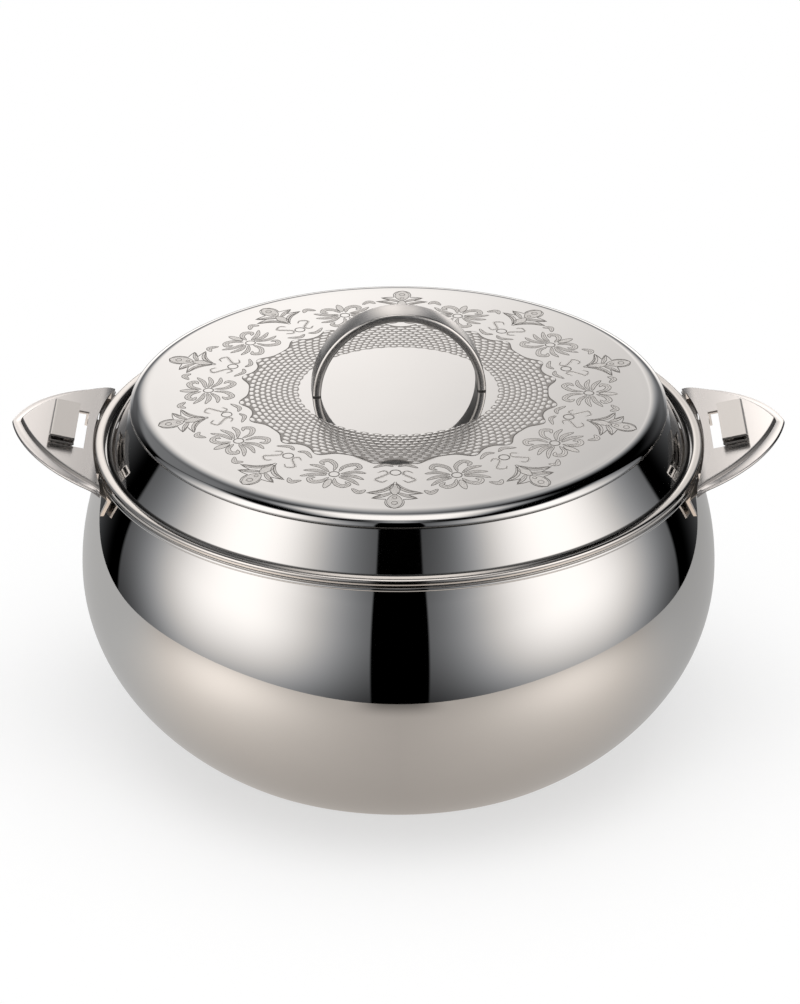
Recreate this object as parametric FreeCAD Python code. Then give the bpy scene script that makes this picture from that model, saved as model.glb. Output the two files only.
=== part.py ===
import FreeCAD, Part
import math
import os
from collections import namedtuple

# Insulated chapati casserole: a double-walled stainless steel pot with a lift-off insulated lid,
# two leaf-shaped side handles and a sliding lock on each handle.
# Frame: millimetres, +Z up, origin at the centre of the foot, handles along X, front towards -Y.

V = FreeCAD.Vector
ORIGIN = V(0, 0, 0)
UP = V(0, 0, 1)

# ---- driving dimensions ------------------------------------------------------------------

# sheet metal and clearances
sheet = 0.6                # wall of every drawn shell
foam_gap = 0.2             # foam to the sheet round it
seat_gap = 0.2             # lid flange above the seat ring it rests on
touch_gap = 0.1            # between pieces that are pressed together
slide_gap = 0.15           # between a sliding lock piece and the handle sheet
cut_past = 1.0             # how far a cutting body runs past what it cuts
shorter_axis = 1 - 1e-9    # keeps an ellipse's second axis the shorter one where it is a circle

# outer shell: two half ellipses that share the widest circle
belly_radius = 141.8
belly_height = 73.3
belly_drop = 104.5         # half height of the lower ellipse
belly_rise = 126.0         # half height of the upper ellipse
shell_floor_height = 1.7   # underside of the shell above the ground
shell_flange_height = 130.85
shell_bead_thickness = 2.0
shell_bead_bite = 0.35     # top of the lower bead above the flange's underside
shell_bead_inset = 0.1     # lower bead inside the radius of the rolled rim

# inner bowl
bowl_mouth_gap = 1.0       # bowl wall to the inside of the shell's mouth
bowl_floor_height = 15.0
bowl_curve_width = 84.0    # across the curve between the flat floor and the wall
bowl_knee_height = 71.0    # where the curve meets the straight wall
rim_overhang = 10.6        # outside of the rolled rim past the bowl's wall
rim_bead_width = 4.8
rim_bead_thickness = 3.1
rim_bead_bite = 0.3        # how far the rolled rim sinks into its seat ring
foam_drop = 6.85           # top of the foam below the shell's flange

# foot
foot_inset = 3.3           # foot inside the edge of the shell's floor
foot_ring_width = 7.0
foot_recess = 0.7
fill_hole_radius = 7.0
plug_head_radius = 9.0
plug_head_thickness = 0.5
plug_clearance = 0.1

# lid
lid_rise = 23.45           # flat edge of the lid's top above the seat
lid_crown = 2.0            # how far the centre stands above that edge
lid_skirt_gap = 0.8        # foot of the flared skirt to the rolled rim
lid_skirt_flare = 10.6     # that foot past the widest point of the shoulder
lid_shoulder_width = 8.8   # from the flat top to the widest point
lid_shoulder_drop = 4.6
lid_tuck_radius = 0.9      # small roll that tucks under the shoulder
lid_neck_inset = 1.6       # neck inside the widest point
lid_neck_drop = 5.8        # neck below the flat edge
lid_plug_gap = 0.6         # wall that hangs inside the bowl to the bowl
lid_plug_depth = 18.15     # underside of the lid below the seat
lid_plug_corner = 6.0
lid_groove_depth = 2.2     # groove that the lock prongs enter
lid_groove_room = 1.3      # groove past the middle of the prongs, up and down
lid_fill_radius = 8.0
lid_fill_lip = 2.0         # head of the lid's plug past its hole

# lid handle: a half ring of strap
ring_radius = 38.2
ring_thickness = 3.8
ring_width = 12.5
ring_edge_round = 1.2
ring_turn = 4.8            # degrees about Z
screw_radius = 1.4
screw_hole_clearance = 0.05
screw_depth = 8.0
screw_end_gap = 1.0
screw_head_radius = 2.8
screw_head_height = 2.0
washer_radius = 3.6
washer_thickness = 0.6
backing_thickness = 1.0
backing_width = 14.0
backing_overhang = 8.0     # past each screw

# side handles: flat on a plane that rises outward, drawn from the inner edge outward
handle_gap = 0.3           # handle's origin past the rolled rim
handle_lift = 2.8          # and above the middle of that rim
handle_slope = 12.7        # degrees
flange_arc_radius = 67.85
flange_arc_back = 30.6     # centre of the side arc, inward of the origin
flange_arc_across = 12.1   # and past the centre line
flange_tip_round = 8.0
flange_half_span = 51.5    # half width at the inner corners
flange_drop = 2.0          # flange below the raised leaf
flange_thickness = 1.4     # sheet and its turned hem
flange_round = 0.4
leaf_arc_radius = 84.0
leaf_arc_back = 48.1
leaf_arc_across = 23.7
leaf_tip_round = 3.4
leaf_round = 1.1
leaf_root_radius = 188.0   # curve of the inner edge
leaf_sheet = 0.9
window_start = 3.3
window_end_gap = 0.5       # outer end of the window to the lock's rivets
window_half_width = 18.0

# lock slide, in the same plane
lock_travel = 4.6
cap_length = 11.4
cap_side_gap = 0.4         # cap inside the ends of the window
cap_height = 3.8
cap_sheet = 1.1
fork_sheet = 1.0
fork_bar_length = 6.0
fork_bar_inset = 0.5       # inner edge of the bar outside the cap's inner edge
prong_window_gap = 1.0     # inner side of each prong past the window's end
prong_width = 5.0
prong_bead_gap = 0.4       # step of a locked prong to the rolled rim
prong_drop = 5.5           # top of the prong's nose below the fork's top
prong_end_gap = 0.8        # nose of a locked prong to the bottom of the groove
slot_clearance = 0.5       # round a prong in the rim wall
rivet_radius = 1.2
rivet_clearance = 0.05
rivet_head_radius = 2.1
rivet_head_height = 0.8
rivet_spread = 12.0        # each rivet from the centre line

# brackets that carry the side handles
bracket_sheet = 1.5
bracket_width = 7.0
bracket_foot_width = 3.5
bracket_length = 19.0      # down the pot's wall
bracket_knee_share = 0.4   # part of that length that lies against the wall
bracket_reach = 4.2        # under the handle sheet
bracket_bead_gap = 0.7     # bracket to the rolled rim


# ---- sizes that follow from them -----------------------------------------------------------

def belly_at(height, inset=0.0):
    """Radius of the outer shell at a height, less an inset."""
    half = (belly_rise if height > belly_height else belly_drop) - inset
    return (belly_radius - inset) * math.sqrt(1 - ((height - belly_height) / half) ** 2)


# A leaf has a long arc on each side, whose centre lies inward of the origin and past the centre line,
# and a round tip.
Leaf = namedtuple("Leaf", "arc_radius back across tip_round")
flange_leaf = Leaf(flange_arc_radius, flange_arc_back, flange_arc_across, flange_tip_round)
raised_leaf = Leaf(leaf_arc_radius, leaf_arc_back, leaf_arc_across, leaf_tip_round)


def half_width_of(leaf, outward, inset=0.0):
    """Half width of a leaf at a distance from the handle's origin, less an inset."""
    return math.sqrt((leaf.arc_radius - inset) ** 2 - (outward + leaf.back) ** 2) - leaf.across


seat_low = shell_flange_height + sheet + touch_gap
seat_top = seat_low + sheet
bowl_radius = belly_at(shell_flange_height, sheet) - bowl_mouth_gap - sheet
bowl_floor_radius = bowl_radius - bowl_curve_width
rim_bead_radius = bowl_radius + rim_overhang
rim_bead_height = seat_top - rim_bead_bite + rim_bead_thickness / 2
shell_bead_radius = rim_bead_radius - shell_bead_inset
foam_top_height = shell_flange_height - foam_drop
foot_radius = belly_at(shell_floor_height) - foot_inset

lid_edge_height = seat_top + lid_rise
lid_skirt_radius = rim_bead_radius - rim_bead_width - lid_skirt_gap
lid_radius = lid_skirt_radius - lid_skirt_flare
lid_top_radius = lid_radius - lid_shoulder_width
lid_neck_radius = lid_radius - lid_neck_inset
lid_plug_radius = bowl_radius - lid_plug_gap
lid_plug_height = seat_top - lid_plug_depth
lid_groove_radius = lid_plug_radius - lid_groove_depth


def dome_height(radius):
    """Height of the lid's crowned top at a radius."""
    return lid_edge_height + lid_crown * (1 - (radius / lid_top_radius) ** 2)


ring_base_height = dome_height(ring_radius)
ring_middle = ring_radius - ring_thickness / 2
backing_reach = ring_middle + backing_overhang
backing_top = dome_height(backing_reach) - sheet - touch_gap
washer_top = backing_top - backing_thickness - touch_gap / 2
head_top = washer_top - washer_thickness - touch_gap / 2

handle_root = rim_bead_radius + handle_gap
handle_root_height = rim_bead_height + handle_lift
slope_sine = math.sin(math.radians(handle_slope))
slope_cosine = math.cos(math.radians(handle_slope))
leaf_root_line = math.sqrt(leaf_root_radius ** 2 - flange_half_span ** 2) - leaf_root_radius
bracket_offset = half_width_of(raised_leaf, 0, leaf_sheet) - touch_gap - bracket_width / 2

cap_start = window_start + lock_travel
rivet_middle = cap_start + fork_bar_inset + fork_bar_length / 2
window_end = rivet_middle + rivet_radius + window_end_gap
cap_half_width = window_half_width - cap_side_gap
prong_inner = window_half_width + prong_window_gap
fork_top = -leaf_sheet - slide_gap
nose_top = fork_top - prong_drop
nose_middle = nose_top - fork_sheet / 2


def along_handle(radius, across, level):
    """Distance outward in the handle's plane of a point at a radius from the pot's axis."""
    return (math.sqrt(radius ** 2 - across ** 2) - handle_root + level * slope_sine) / slope_cosine


prong_step_start = along_handle(rim_bead_radius, prong_inner, 0) + prong_bead_gap + lock_travel
prong_tip = along_handle(lid_groove_radius + prong_end_gap, prong_inner, nose_middle) + lock_travel
lid_groove_height = (handle_root_height + (prong_tip - lock_travel) * slope_sine
                     + nose_middle * slope_cosine)
lid_groove_low = lid_groove_height - lid_groove_room
lid_groove_high = lid_groove_height + lid_groove_room


# ---- drawing helpers -----------------------------------------------------------------------

def at(radius, height):
    """A point of a profile that is turned about the vertical axis."""
    return V(radius, 0, height)


def line(start, end):
    """A straight edge."""
    return Part.LineSegment(start, end).toShape()


def polyline(points):
    """Straight edges through the points."""
    return [line(points[i], points[i + 1]) for i in range(len(points) - 1)]


def ellipse_edge(centre, half_width, half_height, from_angle, to_angle):
    """Part of an upright ellipse in the XZ plane; angles in radians from +X towards +Z."""
    wide = V(half_width, 0, 0)
    tall = V(0, 0, half_height)
    low, high = min(from_angle, to_angle), max(from_angle, to_angle)
    if half_width >= half_height:
        curve = Part.Ellipse(centre + wide, centre + tall * shorter_axis, centre)
    else:
        curve = Part.Ellipse(centre + tall, centre - wide * shorter_axis, centre)
        low, high = low - math.pi / 2, high - math.pi / 2
    return Part.Arc(curve, low, high).toShape()


def face_of(edges):
    """The face inside a closed loop of edges, given in any order."""
    return Part.Face(Part.Wire(Part.__sortEdges__(edges)))


def turned(edges):
    """The solid that a closed half profile makes when it is turned about the axis."""
    return face_of(edges).revolve(ORIGIN, UP, 360)


def ring(inner, outer, low, high):
    """A flat ring or, with no inner radius, a disc."""
    body = Part.makeCylinder(outer, high - low, V(0, 0, low))
    if inner > 0:
        body = body.cut(Part.makeCylinder(inner, high - low, V(0, 0, low)))
    return body


def block(x_low, x_high, y_low, y_high, z_low, z_high):
    """A box from its limits."""
    return Part.makeBox(x_high - x_low, y_high - y_low, z_high - z_low, V(x_low, y_low, z_low))


def joined(shapes):
    """One solid from several that touch."""
    body = shapes[0].fuse(shapes[1:]) if len(shapes) > 1 else shapes[0]
    return body.removeSplitter()


def curl(outer_radius, width, thickness, height, wall):
    """A rolled bead: an oval tube bent into a ring."""
    centre = at(outer_radius - width / 2, height)
    full = 2 * math.pi
    outside = turned([ellipse_edge(centre, width / 2, thickness / 2, 0, full)])
    if min(width, thickness) <= 4 * wall:
        return outside
    inside = turned([ellipse_edge(centre, width / 2 - wall, thickness / 2 - wall, 0, full)])
    return outside.cut(inside)


# ---- the pot ---------------------------------------------------------------------------------

def belly_edges(inset, low, high):
    """The shell's side profile between two heights, moved inward by the inset."""
    centre = at(0, belly_height)
    width = belly_radius - inset
    down = math.asin((low - belly_height) / (belly_drop - inset))
    up = math.asin((high - belly_height) / (belly_rise - inset))
    return [ellipse_edge(centre, width, belly_drop - inset, down, 0),
            ellipse_edge(centre, width, belly_rise - inset, 0, up)]


def belly_solid(inset, low, high):
    """The whole body inside the shell's profile."""
    ends = [line(at(0, low), at(belly_at(low, inset), low)),
            line(at(belly_at(high, inset), high), at(0, high)),
            line(at(0, high), at(0, low))]
    return turned(belly_edges(inset, low, high) + ends)


def bowl_solid(outset, top):
    """The body inside the bowl's wall, grown outward by the outset."""
    wall = bowl_radius + outset
    floor = bowl_floor_height - outset
    centre = at(bowl_floor_radius, bowl_knee_height)
    curve = ellipse_edge(centre, wall - bowl_floor_radius, bowl_knee_height - floor, -math.pi / 2, 0)
    edges = polyline([at(wall, bowl_knee_height), at(wall, top), at(0, top), at(0, floor),
                      at(bowl_floor_radius, floor)])
    return turned([curve] + edges)


def make_outer_shell():
    """Drawn belly with a flat floor, a flange at the top and a small rolled edge."""
    outside = belly_solid(0, shell_floor_height, shell_flange_height)
    hollow = belly_solid(sheet, shell_floor_height + sheet, shell_flange_height)
    shell = outside.cut(hollow)
    flange = ring(belly_at(shell_flange_height, sheet), shell_bead_radius - shell_bead_thickness / 2,
                  shell_flange_height, shell_flange_height + sheet)
    bead_height = shell_flange_height + shell_bead_bite - shell_bead_thickness / 2
    bead = curl(shell_bead_radius, shell_bead_thickness, shell_bead_thickness, bead_height, sheet)
    hole = Part.makeCylinder(fill_hole_radius, sheet + 2 * cut_past, V(0, 0, shell_floor_height - cut_past))
    return joined([shell, flange, bead]).cut(hole)


def make_inner_bowl():
    """Food bowl with a flat seat ring for the lid and the rolled rim."""
    wall = bowl_solid(sheet, seat_top).cut(bowl_solid(0, seat_top))
    seat = ring(bowl_radius, rim_bead_radius - rim_bead_width / 2, seat_low, seat_top)
    bead = curl(rim_bead_radius, rim_bead_width, rim_bead_thickness, rim_bead_height, sheet)
    return joined([wall, seat, bead])


def make_body_insulation():
    """Foam that fills the space between the shell and the bowl."""
    low = shell_floor_height + sheet + foam_gap + plug_head_thickness
    outside = belly_solid(sheet + foam_gap, low, foam_top_height)
    return outside.cut(bowl_solid(sheet + foam_gap, seat_top))


def make_foam_fill_plug():
    """Push-in plug of the hole that the foam is poured through."""
    stem = Part.makeCylinder(fill_hole_radius - plug_clearance, sheet + touch_gap,
                             V(0, 0, shell_floor_height))
    head = Part.makeCylinder(plug_head_radius, plug_head_thickness,
                             V(0, 0, shell_floor_height + sheet + touch_gap))
    return stem.fuse(head)


def make_base_plate():
    """Pressed disc under the shell; its outer ring is the foot."""
    plate = ring(0, foot_radius, 0, shell_floor_height - touch_gap)
    recess = Part.makeCylinder(foot_radius - foot_ring_width, foot_recess, ORIGIN)
    return plate.cut(recess)


# ---- the lid ---------------------------------------------------------------------------------

def dome_edge(inset):
    """The crowned top of the lid, moved down by the inset."""
    centre, middle, edge = [at(radius, dome_height(radius) - inset)
                            for radius in (0, lid_top_radius / 2, lid_top_radius)]
    return Part.Arc(centre, middle, edge).toShape()


def lid_outline(inset):
    """Lid profile from the centre of the top to the foot of the skirt, moved inward."""
    shoulder = at(lid_top_radius, lid_edge_height - lid_shoulder_drop)
    roll = at(lid_radius - lid_tuck_radius, shoulder.z)
    corner = at(lid_neck_radius - inset, shoulder.z - lid_tuck_radius + inset)
    neck = at(lid_neck_radius - inset, lid_edge_height - lid_neck_drop)
    foot = at(lid_skirt_radius - inset, seat_top + seat_gap + sheet)
    small = lid_tuck_radius - inset
    edges = [dome_edge(inset),
             ellipse_edge(shoulder, lid_shoulder_width - inset, lid_shoulder_drop - inset, 0, math.pi / 2),
             ellipse_edge(roll, small, small, -math.pi / 2, 0)]
    return edges + polyline([roll - V(0, 0, small), corner, neck, foot]), foot


def make_lid_cover():
    """Top, shoulder and flared skirt, drawn from one sheet."""
    outside, outer_foot = lid_outline(0)
    inside, inner_foot = lid_outline(sheet)
    centre = line(at(0, dome_height(0)), at(0, dome_height(0) - sheet))
    return turned(outside + inside + [centre, line(outer_foot, inner_foot)])


def liner_edges(inset):
    """Underside of the lid from its flange to its centre, moved up into the lid."""
    flange = seat_top + seat_gap + inset
    wall = lid_plug_radius - inset
    groove = lid_groove_radius - inset
    corner = lid_plug_corner - inset
    floor = lid_plug_height + inset
    points = [at(wall, flange), at(wall, lid_groove_high + inset), at(groove, lid_groove_high + inset),
              at(groove, lid_groove_low - inset), at(wall, lid_groove_low - inset),
              at(wall, floor + corner)]
    turn = ellipse_edge(at(wall - corner, floor + corner), corner, corner, -math.pi / 2, 0)
    return polyline(points) + [turn, line(at(wall - corner, floor), at(0, floor))]


def make_lid_liner():
    """Pan that closes the lid from below, with the lock groove in its wall."""
    flange = seat_top + seat_gap
    rim = lid_skirt_radius - touch_gap
    edges = liner_edges(0) + liner_edges(sheet)
    edges += polyline([at(lid_plug_radius, flange), at(rim, flange), at(rim, flange + sheet),
                       at(lid_plug_radius - sheet, flange + sheet)])
    edges += [line(at(0, lid_plug_height), at(0, lid_plug_height + sheet))]
    hole = Part.makeCylinder(lid_fill_radius, sheet + 2 * cut_past, V(0, 0, lid_plug_height - cut_past))
    return turned(edges).cut(hole)


def make_lid_fill_plug():
    """Plug of the lid's foam hole, seen from below when the lid is off."""
    stem = Part.makeCylinder(lid_fill_radius - plug_clearance, sheet + touch_gap,
                             V(0, 0, lid_plug_height))
    head = Part.makeCylinder(lid_fill_radius + lid_fill_lip, plug_head_thickness,
                             V(0, 0, lid_plug_height + sheet + touch_gap))
    return stem.fuse(head)


def each_screw(make):
    """Place one piece under each foot of the lid handle."""
    shapes = []
    for side in (-1, 1):
        piece = make()
        piece.translate(V(side * ring_middle, 0, 0))
        piece.rotate(ORIGIN, UP, ring_turn)
        shapes.append(piece)
    return Part.makeCompound(shapes)


def make_lid_handle():
    """Half ring of rounded strap that stands on the lid."""
    half_width = ring_width / 2
    inner = ring_radius - ring_thickness
    outline = face_of(polyline([V(inner, -half_width, 0), V(ring_radius, -half_width, 0),
                                V(ring_radius, half_width, 0), V(inner, half_width, 0),
                                V(inner, -half_width, 0)]))
    strap = outline.revolve(ORIGIN, V(0, -1, 0), 180)
    round_edges = [edge for edge in strap.Edges if isinstance(edge.Curve, Part.Circle)]
    strap = strap.makeFillet(ring_edge_round, round_edges)
    strap.translate(V(0, 0, ring_base_height + touch_gap))
    bore = screw_radius + screw_hole_clearance
    for side in (-1, 1):
        strap = strap.cut(Part.makeCylinder(bore, screw_depth, V(side * ring_middle, 0, ring_base_height)))
    strap.rotate(ORIGIN, UP, ring_turn)
    return strap


def make_handle_backing_plate():
    """Bar under the lid's sheet that spreads the handle's load."""
    half_length = backing_reach
    low = backing_top - backing_thickness
    bar = block(-half_length, half_length, -backing_width / 2, backing_width / 2, low, backing_top)
    for side in (-1, 1):
        bar = bar.cut(Part.makeCylinder(screw_radius + screw_hole_clearance, backing_thickness,
                                        V(side * ring_middle, 0, low)))
    bar.rotate(ORIGIN, UP, ring_turn)
    return bar


def make_handle_screws():
    """Screws that come up through the lid's sheet into the feet."""
    def screw():
        shank = Part.makeCylinder(screw_radius, ring_base_height + screw_depth - screw_end_gap - head_top,
                                  V(0, 0, head_top))
        head = Part.makeCylinder(screw_head_radius, screw_head_height,
                                 V(0, 0, head_top - screw_head_height))
        return head.fuse(shank)
    return each_screw(screw)


def make_handle_washers():
    """A washer under each screw head."""
    def washer():
        return ring(screw_radius + screw_hole_clearance, washer_radius,
                    washer_top - washer_thickness, washer_top)
    return each_screw(washer)


def screw_clearance_holes(low, high):
    """Holes for the two screws through a sheet."""
    def hole():
        return Part.makeCylinder(screw_radius + screw_hole_clearance, high - low, V(0, 0, low))
    return each_screw(hole)


def make_lid_insulation():
    """Foam between the lid's cover and its liner, poured round the handle's fixings."""
    gap = sheet + foam_gap
    neck = at(lid_neck_radius - gap - touch_gap, lid_edge_height - lid_neck_drop)
    flange = seat_top + seat_gap + gap
    flare = (lid_skirt_radius - lid_neck_radius) / (neck.z - (seat_top + seat_gap + sheet))
    foot = at(neck.x + (neck.z - flange) * flare, flange)
    roof = at(lid_top_radius, lid_edge_height - gap)
    side = at(lid_neck_radius - gap - touch_gap, lid_edge_height - lid_shoulder_drop)
    edges = [dome_edge(gap), line(roof, side), line(side, neck), line(neck, foot),
             line(foot, at(lid_plug_radius - gap, flange))]
    edges += liner_edges(gap)
    edges += [line(at(0, lid_plug_height + gap), at(0, dome_height(0) - gap))]
    foam = turned(edges)
    low = head_top - screw_head_height - foam_gap
    half_length = backing_reach + foam_gap
    half_width = backing_width / 2 + foam_gap
    pocket = block(-half_length, half_length, -half_width, half_width, low, dome_height(0))
    pocket.rotate(ORIGIN, UP, ring_turn)
    plug = Part.makeCylinder(lid_fill_radius + lid_fill_lip + foam_gap, plug_head_thickness + sheet,
                             V(0, 0, lid_plug_height + sheet))
    return foam.cut(pocket).cut(plug)


# ---- side handles, drawn flat in their own plane -----------------------------------------------
# s runs outward from the root, y across the handle and n up from the handle sheet.

def leaf_face(leaf, inset, root, level):
    """Leaf outline less an inset, closed by a straight edge at the given root line."""
    radius = leaf.arc_radius - inset
    tip_round = leaf.tip_round - inset
    centre_x = -leaf.back
    tip_x = centre_x + math.sqrt((leaf.arc_radius - leaf.tip_round) ** 2 - leaf.across ** 2)
    half_width = half_width_of(leaf, root, inset)
    reach = math.hypot(tip_x - centre_x, leaf.across)
    touch = V(centre_x + (tip_x - centre_x) / reach * radius,
              leaf.across * (radius / reach - 1), level)
    begin = math.atan2(half_width + leaf.across, root - centre_x)
    finish = math.atan2(touch.y + leaf.across, touch.x - centre_x)
    middle = (begin + finish) / 2
    across = V(centre_x + radius * math.cos(middle), radius * math.sin(middle) - leaf.across, level)
    start = V(root, half_width, level)

    def mirrored(point):
        return V(point.x, -point.y, point.z)
    tip = V(tip_x + tip_round, 0, level)
    edges = [Part.Arc(start, across, touch).toShape(),
             Part.Arc(touch, tip, mirrored(touch)).toShape(),
             Part.Arc(mirrored(touch), mirrored(across), mirrored(start)).toShape(),
             line(mirrored(start), start)]
    return face_of(edges)


def leaf_solid(leaf, inset, root, low, high):
    """Leaf outline as a plate between two levels."""
    return leaf_face(leaf, inset, root, low).extrude(V(0, 0, high - low))


def round_top(plate, top, radius):
    """Round the plate's upper edge along both arcs and the tip."""
    crest = [edge for edge in plate.Edges
             if edge.BoundBox.ZMin > top - touch_gap and edge.BoundBox.XMax > 0]
    return plate.makeFillet(radius, crest)


def make_handle_plate():
    """Pressed handle: a leaf raised out of a flat flange, hollow below, with the lock's window."""
    bottom = -flange_drop - flange_thickness
    low = bottom - cut_past
    beyond = leaf_root_line - cut_past
    flange = leaf_solid(flange_leaf, 0, leaf_root_line, bottom, -flange_drop)
    flange = round_top(flange, -flange_drop, flange_round)
    raised = round_top(leaf_solid(raised_leaf, 0, leaf_root_line, bottom, 0), 0, leaf_round)
    hollow = leaf_solid(raised_leaf, leaf_sheet, beyond, low, -leaf_sheet)
    window = block(window_start, window_end, -window_half_width, window_half_width, low, cut_past)
    root_cut = Part.makeCylinder(leaf_root_radius, cut_past - low, V(-leaf_root_radius, 0, low))
    return flange.fuse(raised).cut(hollow).cut(window).cut(root_cut)


def each_rivet(make):
    """One piece at each of the two rivets of a lock."""
    shapes = []
    for side in (-1, 1):
        piece = make()
        piece.translate(V(rivet_middle, side * rivet_spread, 0))
        shapes.append(piece)
    return Part.makeCompound(shapes)


def rivet_holes(low, high):
    """Clearance for both rivets."""
    return each_rivet(lambda: Part.makeCylinder(rivet_radius + rivet_clearance, high - low, V(0, 0, low)))


def make_latch_cap():
    """Thumb piece: a strip folded back on itself, closed at its outer end."""
    low = slide_gap
    outer = block(cap_start, cap_start + cap_length, -cap_half_width, cap_half_width, low, cap_height)
    fold = [edge for edge in outer.Edges if edge.BoundBox.XMin > cap_start + cap_length - touch_gap
            and edge.BoundBox.YLength > cap_half_width]
    outer = outer.makeFillet(cap_sheet, fold)
    hollow = block(cap_start - cap_sheet, cap_start + cap_length - cap_sheet,
                   -2 * cap_half_width, 2 * cap_half_width, low + cap_sheet, cap_height - cap_sheet)
    return outer.cut(hollow).cut(rivet_holes(0, low + cap_sheet))


def make_latch_fork():
    """Lock plate under the handle: a bar with two stepped prongs."""
    low = fork_top - fork_sheet
    bar_start = cap_start + fork_bar_inset
    bar_end = bar_start + fork_bar_length
    bar = block(bar_start, bar_end, -prong_inner - prong_width, prong_inner + prong_width,
                low, fork_top)
    shapes = [bar]
    for side in (-1, 1):
        edge = side * prong_inner
        near, far = sorted((edge, edge + side * prong_width))
        shapes.append(block(prong_step_start, bar_end, near, far, low, fork_top))
        shapes.append(block(prong_step_start, prong_step_start + fork_sheet, near, far,
                            nose_top - fork_sheet, fork_top))
        shapes.append(block(prong_tip, prong_step_start + fork_sheet, near, far,
                            nose_top - fork_sheet, nose_top))
    return joined(shapes).cut(rivet_holes(low, fork_top))


def make_latch_rivets():
    """Two rivets that hold the cap to the fork through the window."""
    head_base = slide_gap + cap_sheet + touch_gap / 2
    low = fork_top - fork_sheet - touch_gap / 2

    def rivet():
        shank = Part.makeCylinder(rivet_radius, head_base - low, V(0, 0, low))
        top = Part.makeCylinder(rivet_head_radius, rivet_head_height, V(0, 0, head_base))
        end = Part.makeCylinder(rivet_head_radius, rivet_head_height, V(0, 0, low - rivet_head_height))
        return shank.fuse([top, end])
    return each_rivet(rivet)


def prong_slots():
    """Space that the prongs need in the pot's rim wall, over their whole travel."""
    top = nose_top + slot_clearance
    low = top - fork_sheet - 2 * slot_clearance
    near = prong_inner - slot_clearance
    far = prong_inner + prong_width + slot_clearance
    start = prong_tip - lock_travel - cut_past
    end = along_handle(belly_at(foam_top_height), near, nose_middle) + cut_past
    return Part.makeCompound([block(start, end, near, far, low, top),
                              block(start, end, -far, -near, low, top)])


def placed(shape, side):
    """Move a piece from the handle's plane to the left (-1) or right (+1) of the pot."""
    copy = shape.copy()
    copy.rotate(ORIGIN, V(0, 1, 0), -handle_slope)
    copy.translate(V(handle_root, 0, handle_root_height))
    if side < 0:
        copy.rotate(ORIGIN, UP, 180)
    return copy


def bracket_strap(across):
    """Bent strap, tapered towards its foot, from the pot's wall up to the handle sheet."""
    sheet_under = handle_root_height - leaf_sheet / slope_cosine - touch_gap
    nearest = abs(across) - bracket_width / 2

    def wall(height):
        return math.sqrt((belly_at(height) + touch_gap) ** 2 - nearest ** 2)

    def under(x):
        return sheet_under + (x - handle_root) * slope_sine / slope_cosine
    inner = math.sqrt((rim_bead_radius + bracket_bead_gap) ** 2 - nearest ** 2)
    outer = inner + bracket_reach
    foot = sheet_under - bracket_length
    knee = foot + bracket_length * bracket_knee_share
    thick = bracket_sheet
    inside = [V(wall(foot), 0, foot), V(wall(knee), 0, knee), V(inner, 0, shell_flange_height),
              V(inner, 0, under(inner)), V(outer, 0, under(outer))]
    outside = [V(outer, 0, under(outer) - thick), V(inner + 2 * thick, 0, under(inner) - thick),
               V(inner + thick, 0, under(inner) - 2 * thick), V(inner + thick, 0, shell_flange_height),
               V(wall(knee) + thick, 0, knee), V(wall(foot) + thick, 0, foot)]
    profile = face_of(polyline(inside + outside + inside[:1]))
    profile.translate(V(0, across - bracket_width / 2, 0))
    strap = profile.extrude(V(0, bracket_width, 0))
    top = under(outer) + cut_past
    half, half_foot = bracket_width / 2, bracket_foot_width / 2
    outline = [V(0, across - half_foot, foot), V(0, across + half_foot, foot),
               V(0, across + half, shell_flange_height), V(0, across + half, top),
               V(0, across - half, top), V(0, across - half, shell_flange_height)]
    taper = face_of(polyline(outline + outline[:1])).extrude(V(outer + cut_past, 0, 0))
    return strap.common(taper)


def make_handle_brackets(side):
    """The two straps of one side handle, welded to the pot and to the handle."""
    straps = Part.makeCompound([bracket_strap(-bracket_offset), bracket_strap(bracket_offset)])
    if side < 0:
        straps.rotate(ORIGIN, UP, 180)
    return straps


# ---- write every piece -------------------------------------------------------------------------

def build():
    """All pieces by name."""
    slots = [placed(prong_slots(), side) for side in (-1, 1)]
    pieces = {"outer_shell": make_outer_shell(), "inner_bowl": make_inner_bowl()}
    for name in ("outer_shell", "inner_bowl"):
        for slot in slots:
            pieces[name] = pieces[name].cut(slot)
    pieces["body_insulation"] = make_body_insulation()
    pieces["foam_fill_plug"] = make_foam_fill_plug()
    pieces["base_plate"] = make_base_plate()
    holes = screw_clearance_holes(ring_base_height - sheet - cut_past, ring_base_height + cut_past)
    pieces["lid_cover"] = make_lid_cover().cut(holes)
    pieces["lid_liner"] = make_lid_liner()
    pieces["lid_insulation"] = make_lid_insulation()
    pieces["lid_fill_plug"] = make_lid_fill_plug()
    pieces["lid_handle"] = make_lid_handle()
    pieces["handle_backing_plate"] = make_handle_backing_plate()
    pieces["handle_screws"] = make_handle_screws()
    pieces["handle_washers"] = make_handle_washers()
    flat = {"handle_plate": make_handle_plate(), "latch_cap": make_latch_cap(),
            "latch_fork": make_latch_fork(), "latch_rivets": make_latch_rivets()}
    for label, side in (("left", -1), ("right", 1)):
        for name, shape in flat.items():
            pieces[label + "_" + name] = placed(shape, side)
        pieces[label + "_handle_brackets"] = make_handle_brackets(side)
    return pieces


def main():
    """Build the pieces and write one file for each."""
    os.makedirs("parts", exist_ok=True)
    for name, shape in build().items():
        if not shape.isValid():
            print("invalid:", name)
        print("%-24s solids %d  volume %.1f" % (name, len(shape.Solids), shape.Volume))
        shape.exportStep("parts/" + name + ".step")


main()
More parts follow.
